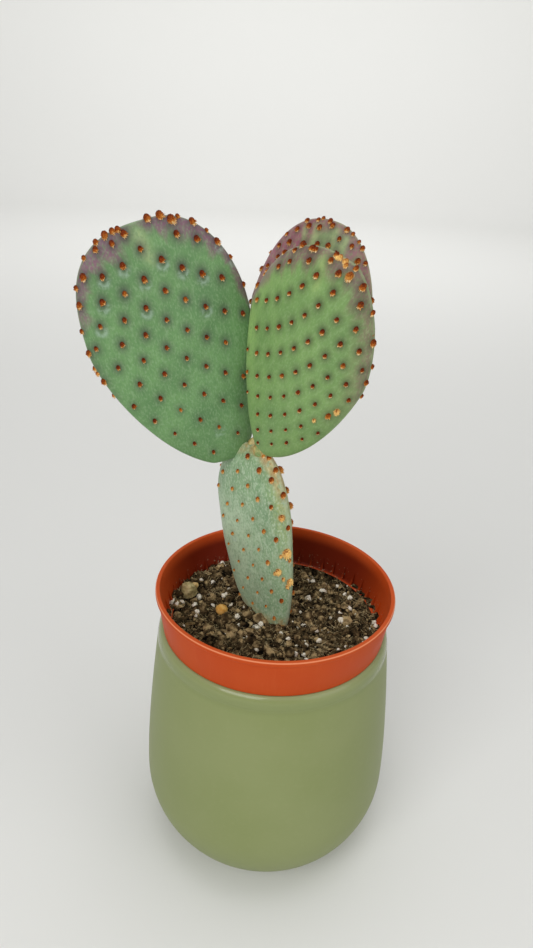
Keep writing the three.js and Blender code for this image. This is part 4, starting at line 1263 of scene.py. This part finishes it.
stones = [
    {"name": "clayBall", "node": "clay_ball", "slot": "clay", "place": (-0.025, 0.005, 0.121),
     "radii": (0.0030, 0.0029, 0.0027), "rough": 0.05, "scale": 2.2, "seed": 1,
     "colours": [(0.340, 0.150, 0.030), (0.600, 0.310, 0.070), (0.740, 0.480, 0.170)]},
    {"name": "tanStone", "node": "tan_stone", "slot": "stone", "place": (-0.0418, 0.0144, 0.1246),
     "radii": (0.0038, 0.0035, 0.0044), "rough": 0.24, "scale": 1.3, "seed": 2,
     "colours": [(0.115, 0.083, 0.032), (0.370, 0.300, 0.140), (0.560, 0.470, 0.260)]},
    {"name": "yellowPebble", "node": "yellow_pebble", "slot": "stone", "place": (-0.0396, 0.0214, 0.1228),
     "radii": (0.0019, 0.0017, 0.0016), "rough": 0.16, "scale": 1.6, "seed": 3,
     "colours": [(0.420, 0.240, 0.070), (0.660, 0.440, 0.160), (0.780, 0.620, 0.340)]},
]


def makeStone(stone):
    turns = np.linspace(0, math.pi, 37)
    profile = [(0, -1)] + [(math.sin(t), -math.cos(t)) for t in turns[1:-1]] + [(0, 1)]
    points, faces = latheMesh(profile, 48)
    shaped = []
    for point in points:
        ball = Vector(point)
        cloud = noise.fractal(ball * stone["scale"] + Vector((stone["seed"] * 3.1, 0, 0)), 0.9, 2.2, 5)
        grown = ball * (1 + stone["rough"] * cloud)
        shaped.append([stone["place"][k] + grown[k] * stone["radii"][k] for k in range(3)])
    finish = makeSoilFinish(stone["name"] + "Finish", stone["colours"], 420, 0.8)
    piece = meshPiece(stone["name"], shaped, faces, finish)
    storeValues(piece, shade=[0.5] * len(shaped))
    settle(piece, stone["slot"], stone["node"])


def makeSoil():
    brown = makeSoilFinish("darkSoil", soilBed["colours"], 380, 0.9)
    points, faces = makeSoilBed(brown)
    scatter = makeScatterTree()
    white = makeSoilFinish("whitePerlite", perlite["colours"], 900, 0.75)
    layers = [("fineCrumbs", fineCrumbs, brown), ("coarseCrumbs", coarseCrumbs, brown),
              ("clods", clods, brown),
              ("barkChips", bark, makeSoilFinish("barkFinish", bark["colours"], 500, 0.85)),
              ("perliteGrains", perlite, white)]
    for name, grains, finish in layers:
        carrier = soilCarrier(points, faces, grains["high"])
        piece = growMesh(name, carrier, scatter, {**grains, "finish": finish})
        settle(piece, "stone" if grains is perlite else "soil_mix", "soil")
        print(name, len(piece.data.polygons), "faces")
    places = [onSoil(column, row) + Vector((0, 0, 0.0004)) for column, row, _ in perlite["seen"]]
    carrier = meshPiece("grainCarrier", places, [])
    storeValues(carrier, size=[perlite["seenSize"] * size for _, _, size in perlite["seen"]])
    piece = growMesh("largePerlite", carrier, makePlacedTree(), {**perlite, "finish": white})
    settle(piece, "stone", "soil")
    threadFinish = makeSoilFinish("fibreFinish", fibres["colours"], 300, 0.8)
    carrier = soilCarrier(points, faces, 0.0016)
    piece = growMesh("rootFibres", carrier, makeFibreTree(), {**fibres, "finish": threadFinish})
    settle(piece, "soil_mix", "soil")


makeSoil()
for stone in stones:
    makeStone(stone)
print("soil and stones made")

# The floor and the light.
studio = {
    "flatReach": 2.6, "sweep": 0.8, "wallHeight": 1.5, "floorColour": (0.74, 0.74, 0.72),
    "warmerFloor": (0.7, 0.7, 0.68), "floorCloud": 0.06, "floorRoughness": 0.65,
    "worldColour": (0.95, 0.95, 0.94), "worldStrength": 0.42,
    "lamps": [
        {"name": "key", "place": (-0.54, -1.06, 0.95), "size": 0.9, "power": 11.5, "aim": (0, 0, 0.16)},
        {"name": "fill", "place": (0.95, -0.75, 0.55), "size": 0.9, "power": 3.4, "aim": (0, 0, 0.16)},
        {"name": "top", "place": (0.10, 0.05, 1.40), "size": 1.0, "power": 5.5, "aim": (0, 0, 0.16)},
        {"name": "backdrop", "place": (0, 1.5, 1.9), "size": 1.4, "power": 34, "aim": (0, 3.3, 0.5)},
    ],
}


def makeStudio():
    flat, sweep = studio["flatReach"], studio["sweep"]
    finish, tree, shader, place = newFinish("paleFloor")
    tone = patches(tree, place, 3, 0.3, 0.7)
    colour = paint(tree, studio["floorColour"], (tone, studio["floorCloud"], studio["warmerFloor"]))
    fill(tree, shader, {"Base Color": colour, "Roughness": studio["floorRoughness"]})
    profile = [(0, 0), (flat, 0)] + arc((flat, sweep), sweep, -90, 0, 16)[1:]
    profile.append((flat + sweep, studio["wallHeight"]))
    points, faces = latheMesh(profile, 96)
    floor = meshPiece("floor", points, [face[::-1] for face in faces], finish)
    world = bpy.data.worlds.new("paleRoom")
    world.use_nodes = True
    background = world.node_tree.nodes["Background"]
    background.inputs[0].default_value = (*studio["worldColour"], 1)
    background.inputs[1].default_value = studio["worldStrength"]
    bpy.context.scene.world = world
    for lamp in studio["lamps"]:
        light = bpy.data.lights.new(lamp["name"], "AREA")
        light.size = lamp["size"]
        light.energy = lamp["power"]
        holder = bpy.data.objects.new(lamp["name"], light)
        holder.location = lamp["place"]
        aim = Vector(lamp["aim"]) - Vector(lamp["place"])
        holder.rotation_euler = aim.to_track_quat("-Z", "Y").to_euler()
        bpy.context.scene.collection.objects.link(holder)
    bpy.context.scene.view_settings.view_transform = "Standard"


makeStudio()
print("studio set")
